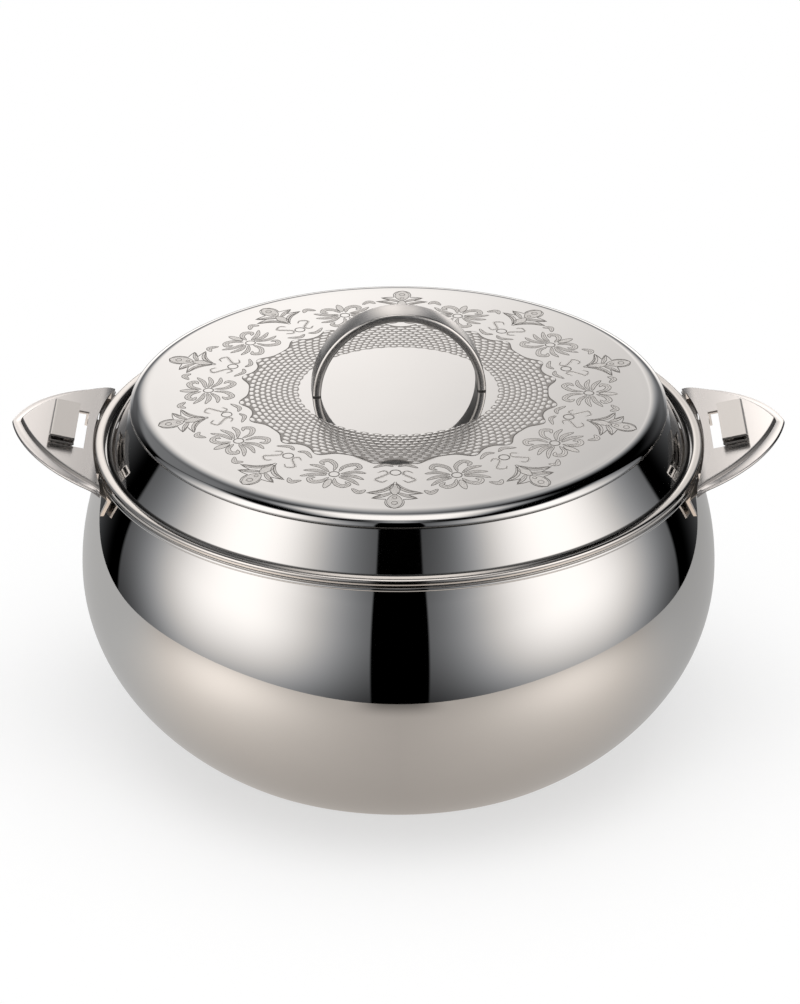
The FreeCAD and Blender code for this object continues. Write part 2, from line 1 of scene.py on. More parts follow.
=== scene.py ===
# %% [markdown]
# # An insulated chapati casserole
# The pot is a drawn steel belly with a food bowl hung inside it, and foam fills the space between them.
# The lid lifts straight off. Each side handle is a pressed leaf of steel with a sliding lock in its middle.
# Each sheet that shows is a surface worked out from a formula and laid exactly over the packed solid it
# stands for. Screws, straps, foam and other plain pieces keep their packed solids.

# %% Load the packed model
import math

import bmesh
import bpy
import numpy as np
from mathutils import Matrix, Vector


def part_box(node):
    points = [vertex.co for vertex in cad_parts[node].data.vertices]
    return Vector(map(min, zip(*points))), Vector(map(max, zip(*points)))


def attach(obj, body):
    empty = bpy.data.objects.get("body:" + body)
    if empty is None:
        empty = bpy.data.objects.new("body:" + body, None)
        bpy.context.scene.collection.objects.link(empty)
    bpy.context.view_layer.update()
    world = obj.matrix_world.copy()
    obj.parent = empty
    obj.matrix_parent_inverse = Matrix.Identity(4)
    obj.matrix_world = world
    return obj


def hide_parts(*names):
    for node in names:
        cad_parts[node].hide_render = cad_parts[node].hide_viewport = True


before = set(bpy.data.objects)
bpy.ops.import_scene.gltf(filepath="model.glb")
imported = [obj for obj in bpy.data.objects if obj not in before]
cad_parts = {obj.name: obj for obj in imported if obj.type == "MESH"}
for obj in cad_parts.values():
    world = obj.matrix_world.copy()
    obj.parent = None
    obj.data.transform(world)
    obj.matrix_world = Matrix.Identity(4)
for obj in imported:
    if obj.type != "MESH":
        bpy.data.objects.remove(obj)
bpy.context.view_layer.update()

# %% [markdown]
# ## Sizes
# A scene that copies numbers goes out of step with the model it dresses. So every place that a box of the
# packed model can tell is read from that box, and only what no box shows, such as the height of the widest
# circle, is written here. All lengths are in millimetres until a mesh is made.

# %% Boxes of the packed pieces
MM = 0.001


def box_of(node):
    """Lowest and highest corner of a packed piece, in millimetres."""
    low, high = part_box(node)
    return np.array(low) / MM, np.array(high) / MM


shell_low, shell_high = box_of("outer_shell")
bowl_low, bowl_high = box_of("inner_bowl")
base_high = box_of("base_plate")[1]
cover_low, cover_high = box_of("lid_cover")
liner_low = box_of("lid_liner")[0]
ring_low, ring_high = box_of("lid_handle")
print("over the belly:", np.round(shell_high - shell_low, 1), "over the lid:",
      np.round(cover_high - cover_low, 1))

# %% Sizes of the pot
sheet = 0.6
belly_height = 73.3
belly_drop = 104.5
belly_rise = 126.0
shell_floor = shell_low[2]
shell_flange = shell_high[2] - sheet
belly_radius = 141.8
fill_hole_radius = 7.0

rim_radius = bowl_high[0]
rim_half_width = 2.4
rim_half_height = 1.55
rim_height = bowl_high[2] - rim_half_height
rim_overhang = 10.6
seat_rise = 0.3
seat_top = rim_height - rim_half_height + seat_rise
bowl_radius = rim_radius - rim_overhang
bowl_floor = bowl_low[2] + sheet
bowl_curve = 84.0
bowl_floor_radius = bowl_radius - bowl_curve
bowl_knee = 71.0
bead_half = 1.0
bead_inset = 0.1
bead_rise = 0.35
bead_radius = rim_radius - bead_inset - bead_half
bead_height = shell_flange + bead_rise - bead_half

foot_radius = base_high[0]
foot_top = base_high[2]
foot_ring_width = 7.0
foot_recess = 0.7
foot_round = 0.4
print("radii of rim, bowl and foot:", np.round([rim_radius, bowl_radius, foot_radius], 2))

# %% Sizes of the lid
skirt_radius = cover_high[0]
skirt_foot = cover_low[2]
skirt_flare = 10.6
crown = 2.0
lid_edge = cover_high[2] - crown
lid_radius = skirt_radius - skirt_flare
shoulder_width = 8.8
shoulder_drop = 4.6
tuck_radius = 0.9
neck_inset = 1.6
neck_radius = lid_radius - neck_inset
neck_drop = 5.8
flat_radius = lid_radius - shoulder_width

plug_gap = 0.6
plug_radius = bowl_radius - plug_gap
plug_floor = liner_low[2]
plug_corner = 6.0
plug_hole_radius = 8.0
pan_inset = 0.1
groove_depth = 2.2
groove_middle = 125.7
groove_half_height = 1.3

ring_thickness = 3.8
ring_width = 12.5
ring_edge = 1.2
ring_turn = math.radians(4.8)
ring_base = ring_low[2]
ring_radius = ring_high[2] - ring_base
print("radii of skirt, plug and ring:", np.round([skirt_radius, plug_radius, ring_radius], 2))

# %% Sizes of the side handles
# A leaf has its arcs' radius, how far back and how far across their centres lie, and its tip's radius.
handle_gap = 0.3
handle_root = rim_radius + handle_gap
handle_lift = 2.8
handle_root_height = rim_height + handle_lift
handle_slope = math.radians(12.7)
leaf_sheet = 0.9
leaf_root_radius = 188.0
flange_leaf = (67.85, 30.6, 12.1, 8.0)
raised_leaf = (84.0, 48.1, 23.7, 3.4)
leaf_round = 1.1
bend = 0.04
bend_start = 1.3
flange_level = -1.9
window_start = 3.3
window_end = 13.1
window_half_width = 18.0

cap_start = 7.9
cap_length = 11.4
cap_height = 3.8
cap_sheet = 1.1
cap_lift = 0.15
cap_half_width = 17.6
print("handle starts", round(handle_root, 2), "mm out and", round(handle_root_height, 2), "mm up")

# %% [markdown]
# ## Grids into meshes
# A turned pot needs thousands of faces, but it has only two parameters: how far along the profile, and how
# far round. Blender's Screw modifier could turn a profile as well, but a grid of points worked out with numpy
# is shorter to write, leaves no seam, and lets single cells be left out where a slot goes through the wall.

# %% Grids of cells


def cells(rows, columns, wrap_rows=False, wrap_columns=False):
    """Corner numbers of each cell of a grid that is stored row by row: a point's number is its row times
    the columns plus its column. A wrapped grid also joins its last row or column to the first."""
    row = np.arange(rows if wrap_rows else rows - 1)[:, None]
    column = np.arange(columns if wrap_columns else columns - 1)[None, :]
    next_row = (row + 1) % rows
    next_column = (column + 1) % columns
    corners = [row * columns + column, row * columns + next_column,
               next_row * columns + next_column, next_row * columns + column]
    return np.stack(np.broadcast_arrays(*corners), axis=-1).reshape(-1, 4)


print("a grid of 3 by 4 points has", len(cells(3, 4)), "cells")

# %% [markdown]
# A piece is made in two steps, so that modifiers can be added between them. First its points and faces
# become a mesh, and points that coincide at seams and poles are joined. Then the modifiers are applied, the
# faces are turned outwards and shaded, and the piece is tied to the body that it moves with.

# %% Pieces from grids
MERGE = 1e-7
SHARP = math.radians(32)


def merge(mesh, closed):
    """Joins points that coincide, as at seams and poles, and turns the faces of a closed mesh outwards.
    Returns the number of edges that don't have two faces. A sheet keeps the side that its faces look to,
    because its wall is measured from there."""
    work = bmesh.new()
    work.from_mesh(mesh)
    bmesh.ops.remove_doubles(work, verts=work.verts, dist=MERGE)
    if closed:
        bmesh.ops.recalc_face_normals(work, faces=work.faces)
    open_edges = sum(len(edge.link_faces) != 2 for edge in work.edges)
    work.to_mesh(mesh)
    work.free()
    return open_edges


def put_mesh(name, parts, material):
    """One object from parts of (points in mm, faces, more faces); faces are rows of corner numbers."""
    points, faces, start = [], [], 0
    for part_points, *groups in parts:
        points.append(np.asarray(part_points, float).reshape(-1, 3))
        for group in groups:
            faces += (np.asarray(group) + start).tolist()
        start += len(points[-1])
    mesh = bpy.data.meshes.new(name)
    mesh.from_pydata((np.concatenate(points) * MM).tolist(), [], faces)
    mesh.materials.append(material)
    merge(mesh, closed=False)
    piece = bpy.data.objects.new(name, mesh)
    bpy.context.scene.collection.objects.link(piece)
    return piece


def finish_mesh(piece, sharp=SHARP, body=None, stands_for=()):
    """Applies the modifiers, shades the piece and sets it on its body."""
    view = bpy.context.evaluated_depsgraph_get()
    mesh = bpy.data.meshes.new_from_object(piece.evaluated_get(view))
    piece.modifiers.clear()
    piece.data = mesh
    open_edges = merge(mesh, closed=True)
    mesh.shade_smooth()
    mesh.set_sharp_from_angle(angle=sharp)
    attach(piece, body)
    if stands_for:
        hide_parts(*stands_for)
    print(piece.name, "faces", len(mesh.polygons), "edges left open", open_edges)


print("points closer than", round(MERGE / MM, 6), "mm are joined")

# %% [markdown]
# ## Arithmetic on shader sockets
# A pattern such as a band of fine lines is arithmetic on numbers that change over the surface. Written as
# nodes it is a page of boxes and links. This small class wraps one socket, and each operator adds its Math
# node, so the pattern can be written as the formula that it is.

# %% Numbers on a surface
class Value:
    """A number that changes over a surface: one output socket, with arithmetic."""

    def __init__(self, shader, socket):
        self.shader = shader
        self.socket = socket

    def __add__(self, other):
        return self.shader.math("ADD", self, other)

    def __sub__(self, other):
        return self.shader.math("SUBTRACT", self, other)

    def __rsub__(self, other):
        return self.shader.math("SUBTRACT", other, self)

    def __mul__(self, other):
        return self.shader.math("MULTIPLY", self, other)

    def __truediv__(self, other):
        return self.shader.math("DIVIDE", self, other)

    def __neg__(self):
        return self * -1.0

    __radd__ = __add__
    __rmul__ = __mul__


print("a value takes + - * / and numbers on both sides")

# %% [markdown]
# A material or the world is a tree of nodes. The class below adds a node with its settings and inputs in one
# line, and has a method for each kind of node that is needed often.

# %% Node trees written as expressions
class Shader:
    """A node tree that is written as expressions."""

    def __init__(self, owner):
        owner.use_nodes = True
        self.tree = owner.node_tree
        self.tree.nodes.clear()

    def node(self, kind, settings=None, inputs=None, output=0):
        """Adds a node, sets its settings first and then its sockets, and returns one of its outputs. An
        output node has none to return."""
        made = self.tree.nodes.new(kind)
        for key, setting in (settings or {}).items():
            setattr(made, key, setting)
        for key, given in (inputs or {}).items():
            if isinstance(given, Value):
                self.tree.links.new(given.socket, made.inputs[key])
            else:
                made.inputs[key].default_value = given
        return Value(self, made.outputs[output]) if len(made.outputs) else None

    def math(self, operation, *values):
        """One Math node."""
        return self.node("ShaderNodeMath", {"operation": operation}, dict(enumerate(values)))

    def smooth(self, value, start, stop):
        """0 at start, 1 at stop, and a smooth step between."""
        inputs = {"Value": value, "From Min": start, "From Max": stop, "To Min": 0.0, "To Max": 1.0}
        return self.node("ShaderNodeMapRange", {"interpolation_type": "SMOOTHSTEP"}, inputs)

    def bell(self, value, middle, spread):
        """A bell curve: e to the minus square of the distance from the middle, in spreads."""
        far = (value - middle) * (1.0 / spread)
        return self.math("EXPONENT", -(far * far))

    def place(self, output="Object"):
        """The surface point's coordinates, as a vector."""
        return self.node("ShaderNodeTexCoord", output=output)

    def axes(self, vector):
        """The three numbers of a vector."""
        return [self.node("ShaderNodeSeparateXYZ", None, {0: vector}, axis) for axis in range(3)]

    def blend(self, amount, first, second):
        """The first colour where the amount is 0 and the second where it is 1. A Mix node has sockets for
        numbers, vectors and colours, so those of its colours are named by their numbers."""
        return self.node("ShaderNodeMix", {"data_type": "RGBA"}, {0: amount, 6: first, 7: second}, 2)

    def noise(self, vector, scale, detail=2.0, dimensions="3D"):
        """A cloudy pattern between 0 and 1; the scale is in clouds per metre."""
        return self.node("ShaderNodeTexNoise", {"noise_dimensions": dimensions},
                         {"Vector": vector, "Scale": scale, "Detail": detail})

    def bumps(self, height, strength=1.0, distance=MM):
        """The slope of a height; the height times the distance is in metres."""
        inputs = {"Height": height, "Strength": strength, "Distance": distance}
        return self.node("ShaderNodeBump", None, inputs)

    def scaled(self, tint, share):
        """A colour times a number."""
        return self.node("ShaderNodeVectorMath", {"operation": "SCALE"}, {0: tint, 3: share})

    def surface(self, base, roughness, bumps, metallic):
        """Sends a surface to the material's output."""
        self.finish(self.node("ShaderNodeBsdfPrincipled", None,
                              {"Base Color": base, "Metallic": metallic, "Roughness": roughness,
                               "Normal": bumps}))

    def finish(self, result, kind="ShaderNodeOutputMaterial"):
        """Sends a shader to an output."""
        self.node(kind, None, {"Surface": result})


def colour(red, green, blue):
    """An opaque colour."""
    return (red, green, blue, 1.0)


print("shader helpers:", [name for name in vars(Shader) if not name.startswith("_")])

# %% [markdown]
# ## Stainless steel
# The steel is one metal with several finishes. The belly and the skirt are buffed to a mirror, the lid's top
# and the handles are a little silkier, and no spun sheet is perfectly even: the buffing wheel leaves
# faint rings round the axis and clouds where it pressed harder. Rings and clouds go into roughness and into
# a very shallow bump, because polished steel shows its wear in what it mirrors and not in its colour.

# %% Steel finishes
steel_tint = (0.665, 0.66, 0.652)


def steel(name, roughness, uneven, ring_depth, cloud_depth, tint=steel_tint, painted_shade=None):
    """Metal with buffing rings about Z and clouds; roughness is its middle value plus or minus uneven.
    Painted shade is a function of the shader, x, the radius and the height, in metres, that gives 1 where
    shade falls: there the colour is darkened as painted shade, and the steel is also made rougher."""
    material = bpy.data.materials.new(name)
    shader = Shader(material)
    where = shader.place()
    x, y, z = shader.axes(where)
    radius = shader.math("SQRT", x * x + y * y)
    along = shader.node("ShaderNodeCombineXYZ", None, {0: radius, 1: z})
    rings = shader.noise(along, 900.0, dimensions="2D")
    clouds = shader.noise(where, 22.0, 3.0)
    wear = (rings - 0.5) * 0.6 + (clouds - 0.5) * 1.4
    bumps = shader.bumps(rings * ring_depth + clouds * cloud_depth)
    shade = shader.math("MULTIPLY_ADD", clouds, 0.06, 0.97)
    rough = wear * uneven + roughness
    if painted_shade:
        painted_shade_share = painted_shade(shader, x, radius, z)
        # The colour is darkened here as painted shade, where the function gives 1.
        shade = shade * (1.0 - painted_shade_share * 0.85)
        rough = rough + painted_shade_share * 0.3
    shader.surface(shader.scaled(tint, shade), rough, bumps, 1.0)
    return material


print("steel's own colour:", steel_tint)

# %% [markdown]
# The rim, the lid, the ring and the side handles have creases, hems and inner faces where shade falls. There
# the colour is darkened as painted shade. Painting them by hand would need texture maps that fit each mesh.
# Their places are known, so each is a formula of the point's place, and it follows the sizes when those
# change.

# %% Painted shade in creases, hems and inner faces


def rim_crevice_shade(shader, x, radius, height):
    """Painted shade on the inner flank of the rolled rim, beside the lid."""
    middle = rim_radius - rim_half_width
    return shader.smooth(radius, (middle - 1.5) * MM, (middle - 2.0) * MM)


def lid_crease_shade(shader, x, radius, height):
    """Painted shade on the neck below the lid's shoulder, and on the hem that the rolled rim hides."""
    low = lid_edge - neck_drop
    high = lid_edge - shoulder_drop
    neck = (shader.smooth(height, (low - 0.45) * MM, (low + 0.05) * MM)
            * shader.smooth(height, (high + 0.1) * MM, (high - 0.3) * MM))
    return neck + shader.smooth(height, (skirt_foot + 1.5) * MM, (skirt_foot + 1.0) * MM)


def handle_crease_shade(shader, x, radius, height):
    """Painted shade on the step round the raised leaf of a side handle, on the underside of its edge, and
    faintly on the part next to the pot. The level is the height over the handle's plane, with the bend behind
    the lock added."""
    outward = shader.math("ABSOLUTE", x) - handle_root * MM
    behind = shader.math("MAXIMUM", -outward - bend_start * MM, 0.0)
    level = ((height - handle_root_height * MM) * math.cos(handle_slope) - outward * math.sin(handle_slope)
             + behind * behind * (bend / MM))
    step = (shader.smooth(level, -0.02 * MM, -0.2 * MM)
            * shader.smooth(level, (flange_level + 0.02) * MM, (flange_level + 0.35) * MM))
    edge = shader.smooth(level, -2.8 * MM, -3.1 * MM)
    near_pot = shader.smooth(outward, 33.0 * MM, 0.0) * 0.36
    return shader.math("MAXIMUM", (step + edge) * 0.85, near_pot)


def ring_crease_shade(shader, x, radius, height):
    """Painted shade on the inner face of the lid's ring handle, near to the ring's middle, and a painted
    contact shadow at the foot of each leg.
    """
    up = height - ring_base * MM
    reach = shader.math("SQRT", radius * radius + up * up)
    inner_face = shader.smooth(reach, (ring_radius - 1.9) * MM, (ring_radius - 2.9) * MM) * 0.5
    return shader.math("MAXIMUM", inner_face, shader.smooth(up, 0.8 * MM, 0.45 * MM))


print("lid's neck lies", round(lid_edge - neck_drop, 1), "to", round(lid_edge - shoulder_drop, 1), "up")

# %% [markdown]
# The numbers of each finish are its roughness and how uneven that is, the depth of the rings and of the
# clouds in millimetres, its colour, and for some where shade is painted. The handles are satin, so they are
# rougher and paler than the belly.

# %% Make the steel finishes
mirror_steel = steel("mirror_steel", 0.022, 0.012, 0.00004, 0.00006)
lid_steel = steel("lid_steel", 0.035, 0.015, 0.0001, 0.0001, painted_shade=lid_crease_shade)
rim_steel = steel("rim_steel", 0.12, 0.03, 0.0001, 0.0001, (0.70, 0.67, 0.64), rim_crevice_shade)
ring_steel = steel("ring_steel", 0.26, 0.05, 0.0003, 0.0003, (0.74, 0.715, 0.69), ring_crease_shade)
handle_steel = steel("handle_steel", 0.16, 0.04, 0.0003, 0.0003, (0.92, 0.885, 0.86), handle_crease_shade)
satin_steel = steel("satin_steel", 0.2, 0.05, 0.0004, 0.0004, (0.83, 0.80, 0.775))
cap_steel = steel("cap_steel", 0.24, 0.05, 0.0004, 0.0004, (0.62, 0.595, 0.57))
# Dark steel for the handles' lips: painted shade in the gap under the inner edge.
lip_painted_shade = steel("lip_painted_shade", 0.4, 0.05, 0.0004, 0.0004, (0.30, 0.28, 0.26))
bracket_steel = steel("bracket_steel", 0.3, 0.05, 0.0004, 0.0004, (0.78, 0.70, 0.63))
inner_steel = steel("inner_steel", 0.22, 0.05, 0.001, 0.0006)
steels = (mirror_steel, lid_steel, rim_steel, ring_steel, handle_steel, satin_steel, cap_steel, lip_painted_shade,
          bracket_steel, inner_steel)
print("finishes:", [material.name for material in steels])

# %% [markdown]
# ## Profiles
# The half profile of a turned piece is made of straight stretches and of quarter or part ellipses, just as
# the tool that pressed the real sheet was. Each stretch is an array of (radius, height) points. Profiles run
# from below upwards, so that the faces of a turned grid look outwards.

# %% Drawing profiles


def stretch(start, stop, count):
    """Evenly spaced points on the straight line between two points."""
    return np.linspace(start, stop, count)


def oval(centre, half_width, half_height, start, stop, count):
    """Centre plus (half width times cosine, half height times sine) of an angle between start and stop."""
    angle = np.radians(np.linspace(start, stop, count))
    return np.column_stack([centre[0] + half_width * np.cos(angle), centre[1] + half_height * np.sin(angle)])


def profile(*stretches):
    """The stretches end to end; a point that repeats the one before it is left out."""
    points = np.concatenate([np.atleast_2d(part) for part in stretches])
    step = np.linalg.norm(np.diff(points, axis=0), axis=1)
    return points[np.concatenate([[True], step > 1e-6])]


print("a quarter circle in three points:", oval((0, 0), 1, 1, 0, 90, 3).round(2).tolist())

# %% [markdown]
# A profile becomes a sheet when it is turned about the pot's axis. A sheet is drawn as one face of the metal,
# and a Solidify modifier gives it its other face and its rim, with the same wall everywhere.

# %% Turning profiles
TURN_STEPS = 288


def turned(points, angles=None):
    """A profile turned about Z: each (radius, height) goes to (radius cos a, radius sin a, height)."""
    if angles is None:
        angles = np.linspace(0, 2 * np.pi, TURN_STEPS, endpoint=False)
    radius, height = points[:, 0:1], points[:, 1:2]
    x = radius * np.cos(angles)
    y = radius * np.sin(angles)
    return np.stack([x, y, np.broadcast_to(height, x.shape)], axis=-1)


def open_sheet(points):
    """A turned profile as a part for put_mesh, open at both ends of the profile."""
    grid = turned(points)
    return grid, cells(*grid.shape[:2], wrap_columns=True)


def closed_tube(points):
    """A closed profile turned about Z, such as a rolled bead; the last point isn't the first again."""
    grid = turned(points)
    return grid, cells(*grid.shape[:2], wrap_rows=True, wrap_columns=True)


def thicken(piece, wall, inward=True):
    """Gives a sheet its wall, to the inside or the outside of the faces drawn."""
    solid = piece.modifiers.new("wall", "SOLIDIFY")
    solid.thickness = wall * MM
    solid.offset = -1.0 if inward else 1.0
    solid.use_even_offset = True


print("a turned piece has", TURN_STEPS, "steps round")

# %% [markdown]
# ## The slots for the lock
# Behind each side handle, two prongs of the lock pass through the wall of the pot. Cutting the slots with
# a Boolean would leave ragged triangles in a mirror, where every one shows. Instead the grid gets a column
# at each side of each slot and a row at its top and bottom, and the cells between are left out.

# %% Columns and rows that frame the prong slots
prong_window_gap = 1.0
prong_inner = window_half_width + prong_window_gap
prong_width = 5.0
prong_drop = 5.5
prong_half_height = 0.5
fork_gap = 0.15
slot_room = 0.5
slot_near = prong_inner - slot_room
slot_far = prong_inner + prong_width + slot_room
slot_level = -leaf_sheet - fork_gap - prong_drop - prong_half_height
slot_half_height = prong_half_height + slot_room


def slot_height(radius):
    """Height at which the sloping prong crosses a wall of that radius."""
    middle = (slot_near + slot_far) / 2
    out = math.sqrt(radius ** 2 - middle ** 2) - handle_root + slot_level * math.sin(handle_slope)
    return handle_root_height + out * math.tan(handle_slope) + slot_level * math.cos(handle_slope)


def slotted_sheet(points, wall_radius):
    """A turned profile with its four prong slots left open."""
    edges = np.arcsin(np.array([slot_near, slot_far]) / wall_radius)
    sides = np.concatenate([edges, -edges, np.pi - edges, np.pi + edges]) % (2 * np.pi)
    even = np.linspace(0, 2 * np.pi, TURN_STEPS, endpoint=False)
    nearest = np.argmin(np.abs(even[:, None] - sides[None, :]), axis=0)
    even[nearest] = sides
    middle = slot_height(wall_radius)
    rows = np.array([middle - slot_half_height, middle + slot_half_height])
    where = np.interp(rows, points[:, 1], np.arange(len(points)))
    wall = np.column_stack([np.interp(rows, points[:, 1], points[:, 0]), rows])
    points = np.insert(points, np.ceil(where).astype(int), wall, axis=0)
    grid = turned(points, np.sort(even))
    faces = cells(*grid.shape[:2], wrap_columns=True)
    centre = grid.reshape(-1, 3)[faces].mean(axis=1)
    across = np.abs(centre[:, 1])
    inside = ((across > slot_near) & (across < slot_far) & (np.abs(centre[:, 0]) > wall_radius / 2)
              & (np.abs(centre[:, 2] - middle) < slot_half_height))
    return grid, faces[~inside]


print("slots at height", round(slot_height(bowl_radius), 1), "in the bowl")

# %% [markdown]
# ## Outer shell
# The belly is two half ellipses that share the widest circle, the upper one taller than the lower. A flat
# floor closes it, a flange turns out at the top, and a small rolled edge finishes the flange.

# %% Make the outer shell


def belly_angle(height):
    """Angle on the belly's ellipse, in degrees, at a height."""
    half = belly_rise if height > belly_height else belly_drop
    return math.degrees(math.asin((height - belly_height) / half))


def belly_at(height):
    """Radius of the belly at a height."""
    return belly_radius * math.cos(math.radians(belly_angle(height)))


belly = profile(stretch((fill_hole_radius, shell_floor), (belly_at(shell_floor), shell_floor), 12),
                oval((0, belly_height), belly_radius, belly_drop, belly_angle(shell_floor), 0, 40),
                oval((0, belly_height), belly_radius, belly_rise, 0, belly_angle(shell_flange), 30),
                stretch((belly_at(shell_flange), shell_flange), (bead_radius, shell_flange), 3))
outer_shell = put_mesh("pot_belly", [slotted_sheet(belly, belly_at(slot_height(bowl_radius)))], mirror_steel)
thicken(outer_shell, sheet)
finish_mesh(outer_shell, body="pot", stands_for=["outer_shell"])

bead = oval((bead_radius, bead_height), bead_half, bead_half, 0, 360, 25)[:-1]
edge_roll = put_mesh("belly_edge_roll", [closed_tube(bead)], mirror_steel)
finish_mesh(edge_roll, body="pot")

# %% [markdown]
# ## Inner bowl
# The bowl has a flat floor, one wide curve and a straight wall. Its top turns out into the seat that the lid
# rests on, and the sheet's edge is rolled into a smooth oval bead that hides the cut.

# %% Make the inner bowl
bowl = profile(stretch((0, bowl_floor), (bowl_floor_radius, bowl_floor), 6),
               oval((bowl_floor_radius, bowl_knee), bowl_radius - bowl_floor_radius,
                    bowl_knee - bowl_floor, -90, 0, 36),
               stretch((bowl_radius, bowl_knee), (bowl_radius, seat_top - sheet), 12),
               oval((bowl_radius + sheet, seat_top - sheet), sheet, sheet, 180, 90, 4),
               stretch((bowl_radius + sheet, seat_top), (rim_radius - rim_half_width, seat_top), 3))
inner_bowl = put_mesh("food_bowl", [slotted_sheet(bowl, bowl_radius)], inner_steel)
thicken(inner_bowl, sheet, inward=False)
finish_mesh(inner_bowl, body="pot", stands_for=["inner_bowl"])

# %% [markdown]
# The bead's section is an oval with full shoulders: each of a circle's coordinates is raised to a power
# below one, which pushes the circle out towards the square round it, and then scaled to the bead.

# %% Make the rolled rim
roll_power = 0.62
circle_points = oval((0, 0), 1, 1, 0, 360, 49)[:-1]
roll = np.sign(circle_points) * np.abs(circle_points) ** roll_power * [rim_half_width, rim_half_height]
roll = roll + [rim_radius - rim_half_width, rim_height]
rolled_rim = put_mesh("rolled_rim", [closed_tube(roll)], rim_steel)
finish_mesh(rolled_rim, body="pot")

# %% [markdown]
# ## Foot
# A pressed disc closes the pot from below. Its outer ring stands a little lower than its middle, so that the
# pot rests on a ring and doesn't rock.

# %% Make the foot
foot_inside = foot_radius - foot_ring_width
foot = profile(stretch((0, foot_recess), (foot_inside, foot_recess), 8),
               stretch((foot_inside, foot_recess), (foot_inside, foot_round), 2),
               oval((foot_inside + foot_round, foot_round), foot_round, foot_round, 180, 270, 4),
               oval((foot_radius - foot_round, foot_round), foot_round, foot_round, -90, 0, 4),
               stretch((foot_radius, foot_round), (foot_radius, foot_top), 2),
               stretch((foot_radius, foot_top), (0, foot_top), 8))
base_plate = put_mesh("foot_plate", [open_sheet(foot)], satin_steel)
finish_mesh(base_plate, body="pot", stands_for=["base_plate"])

# %% [markdown]
# ## Lid cover
# One sheet makes the crowned top, the rounded shoulder, the small tuck below it and the flared skirt that
# comes down to the rolled rim.

# %% Make the lid cover


def dome_height(radius):
    """Height of the lid's top: its edge plus the crown times one minus the square of the radius's share."""
    return lid_edge + crown * (1 - (radius / flat_radius) ** 2)


shoulder_base = lid_edge - shoulder_drop
top_radii = np.linspace(flat_radius, 0, 40)
lid_profile = profile(stretch((skirt_radius, skirt_foot), (neck_radius, lid_edge - neck_drop), 14),
                      stretch((neck_radius, lid_edge - neck_drop),
                              (neck_radius, shoulder_base - tuck_radius), 3),
                      oval((lid_radius - tuck_radius, shoulder_base), tuck_radius, tuck_radius, -90, 0, 8),
                      oval((flat_radius, shoulder_base), shoulder_width, shoulder_drop, 0, 90, 24),
                      np.column_stack([top_radii, dome_height(top_radii)]))
lid_cover = put_mesh("lid_top", [open_sheet(lid_profile)], lid_steel)
thicken(lid_cover, sheet)
finish_mesh(lid_cover, body="lid", stands_for=["lid_cover"])

# %% [markdown]
# ## Lid liner
# A pan closes the lid from below and plugs the mouth of the bowl. The groove in its wall takes the prongs of
# the lock when it is pushed in.

# %% Make the lid liner
wall_foot = plug_floor + plug_corner
groove = [(plug_radius, groove_middle - groove_half_height),
          (plug_radius - groove_depth, groove_middle - groove_half_height),
          (plug_radius - groove_depth, groove_middle + groove_half_height),
          (plug_radius, groove_middle + groove_half_height)]
liner = profile(stretch((plug_hole_radius, plug_floor), (plug_radius - plug_corner, plug_floor), 12),
                oval((plug_radius - plug_corner, wall_foot), plug_corner, plug_corner, -90, 0, 12),
                stretch((plug_radius, wall_foot), groove[0], 3), np.array(groove),
                stretch(groove[3], (plug_radius, skirt_foot - sheet), 3),
                stretch((plug_radius, skirt_foot - sheet), (skirt_radius - pan_inset, skirt_foot - sheet), 3))
lid_liner = put_mesh("lid_pan", [open_sheet(liner)], inner_steel)
thicken(lid_liner, sheet)
finish_mesh(lid_liner, body="lid", stands_for=["lid_liner"])

# %% [markdown]
# ## Ring handle of the lid
# A half ring of thick strap stands on the lid. Its section is a rectangle with rounded edges, carried round
# half a circle, so the piece is one grid of section points by angles with a flat cap at each foot.

# %% Make the ring handle


def rounded_box(half_width, half_height, edge, count):
    """A rectangle about the origin whose corners are quarter circles of count points."""
    corners = [((half_width - edge) * a, (half_height - edge) * b, start)
               for a, b, start in ((1, 1, 0), (-1, 1, 90), (-1, -1, 180), (1, -1, 270))]
    return np.concatenate([oval((x, y), edge, edge, start, start + 90, count) for x, y, start in corners])


def rod(grid):
    """A closed section carried along a path, as a part for put_mesh, with a flat face at both ends."""
    rows, columns = grid.shape[:2]
    ends = [np.arange(columns), np.arange(columns) + (rows - 1) * columns]
    return grid, cells(rows, columns, wrap_columns=True), ends


section = rounded_box(ring_thickness / 2, ring_width / 2, ring_edge, 7)
angles = np.linspace(0, np.pi, 97)[:, None]
reach = ring_radius - ring_thickness / 2 + section[:, 0]
flat_x = reach * np.cos(angles)
flat_y = np.broadcast_to(section[:, 1], flat_x.shape)
grid = np.stack([flat_x * math.cos(ring_turn) - flat_y * math.sin(ring_turn),
                 flat_x * math.sin(ring_turn) + flat_y * math.cos(ring_turn),
                 ring_base + reach * np.sin(angles)], axis=-1)
lid_handle = put_mesh("ring_handle", [rod(grid)], ring_steel)
finish_mesh(lid_handle, body="lid", stands_for=["lid_handle"])

# %% [markdown]
# ## Etched pattern of the lid
# A wreath goes round the lid: a woven band next to the smooth middle, and outside it palmettes between
# lily buds, ten of each. The etching is only a few hundredths of a millimetre deep, so it is laid on the
# sheet as very flat strokes: a dull one for each etched field and a darker, narrow one for each line.
# Everything is drawn once, as (across, out) in millimetres, and then repeated.

# %% Etched finishes


def etched(name, tint, roughness, grain_depth):
    """Dull steel with a fine grain, as acid leaves it."""
    material = bpy.data.materials.new(name)
    shader = Shader(material)
    grain = shader.noise(shader.place(), 1400.0)
    shade = shader.math("MULTIPLY_ADD", grain, 0.3, 0.85)
    bumps = shader.bumps(grain * grain_depth)
    shader.surface(shader.scaled(tint, shade), grain * 0.1 + roughness, bumps, 1.0)
    return material


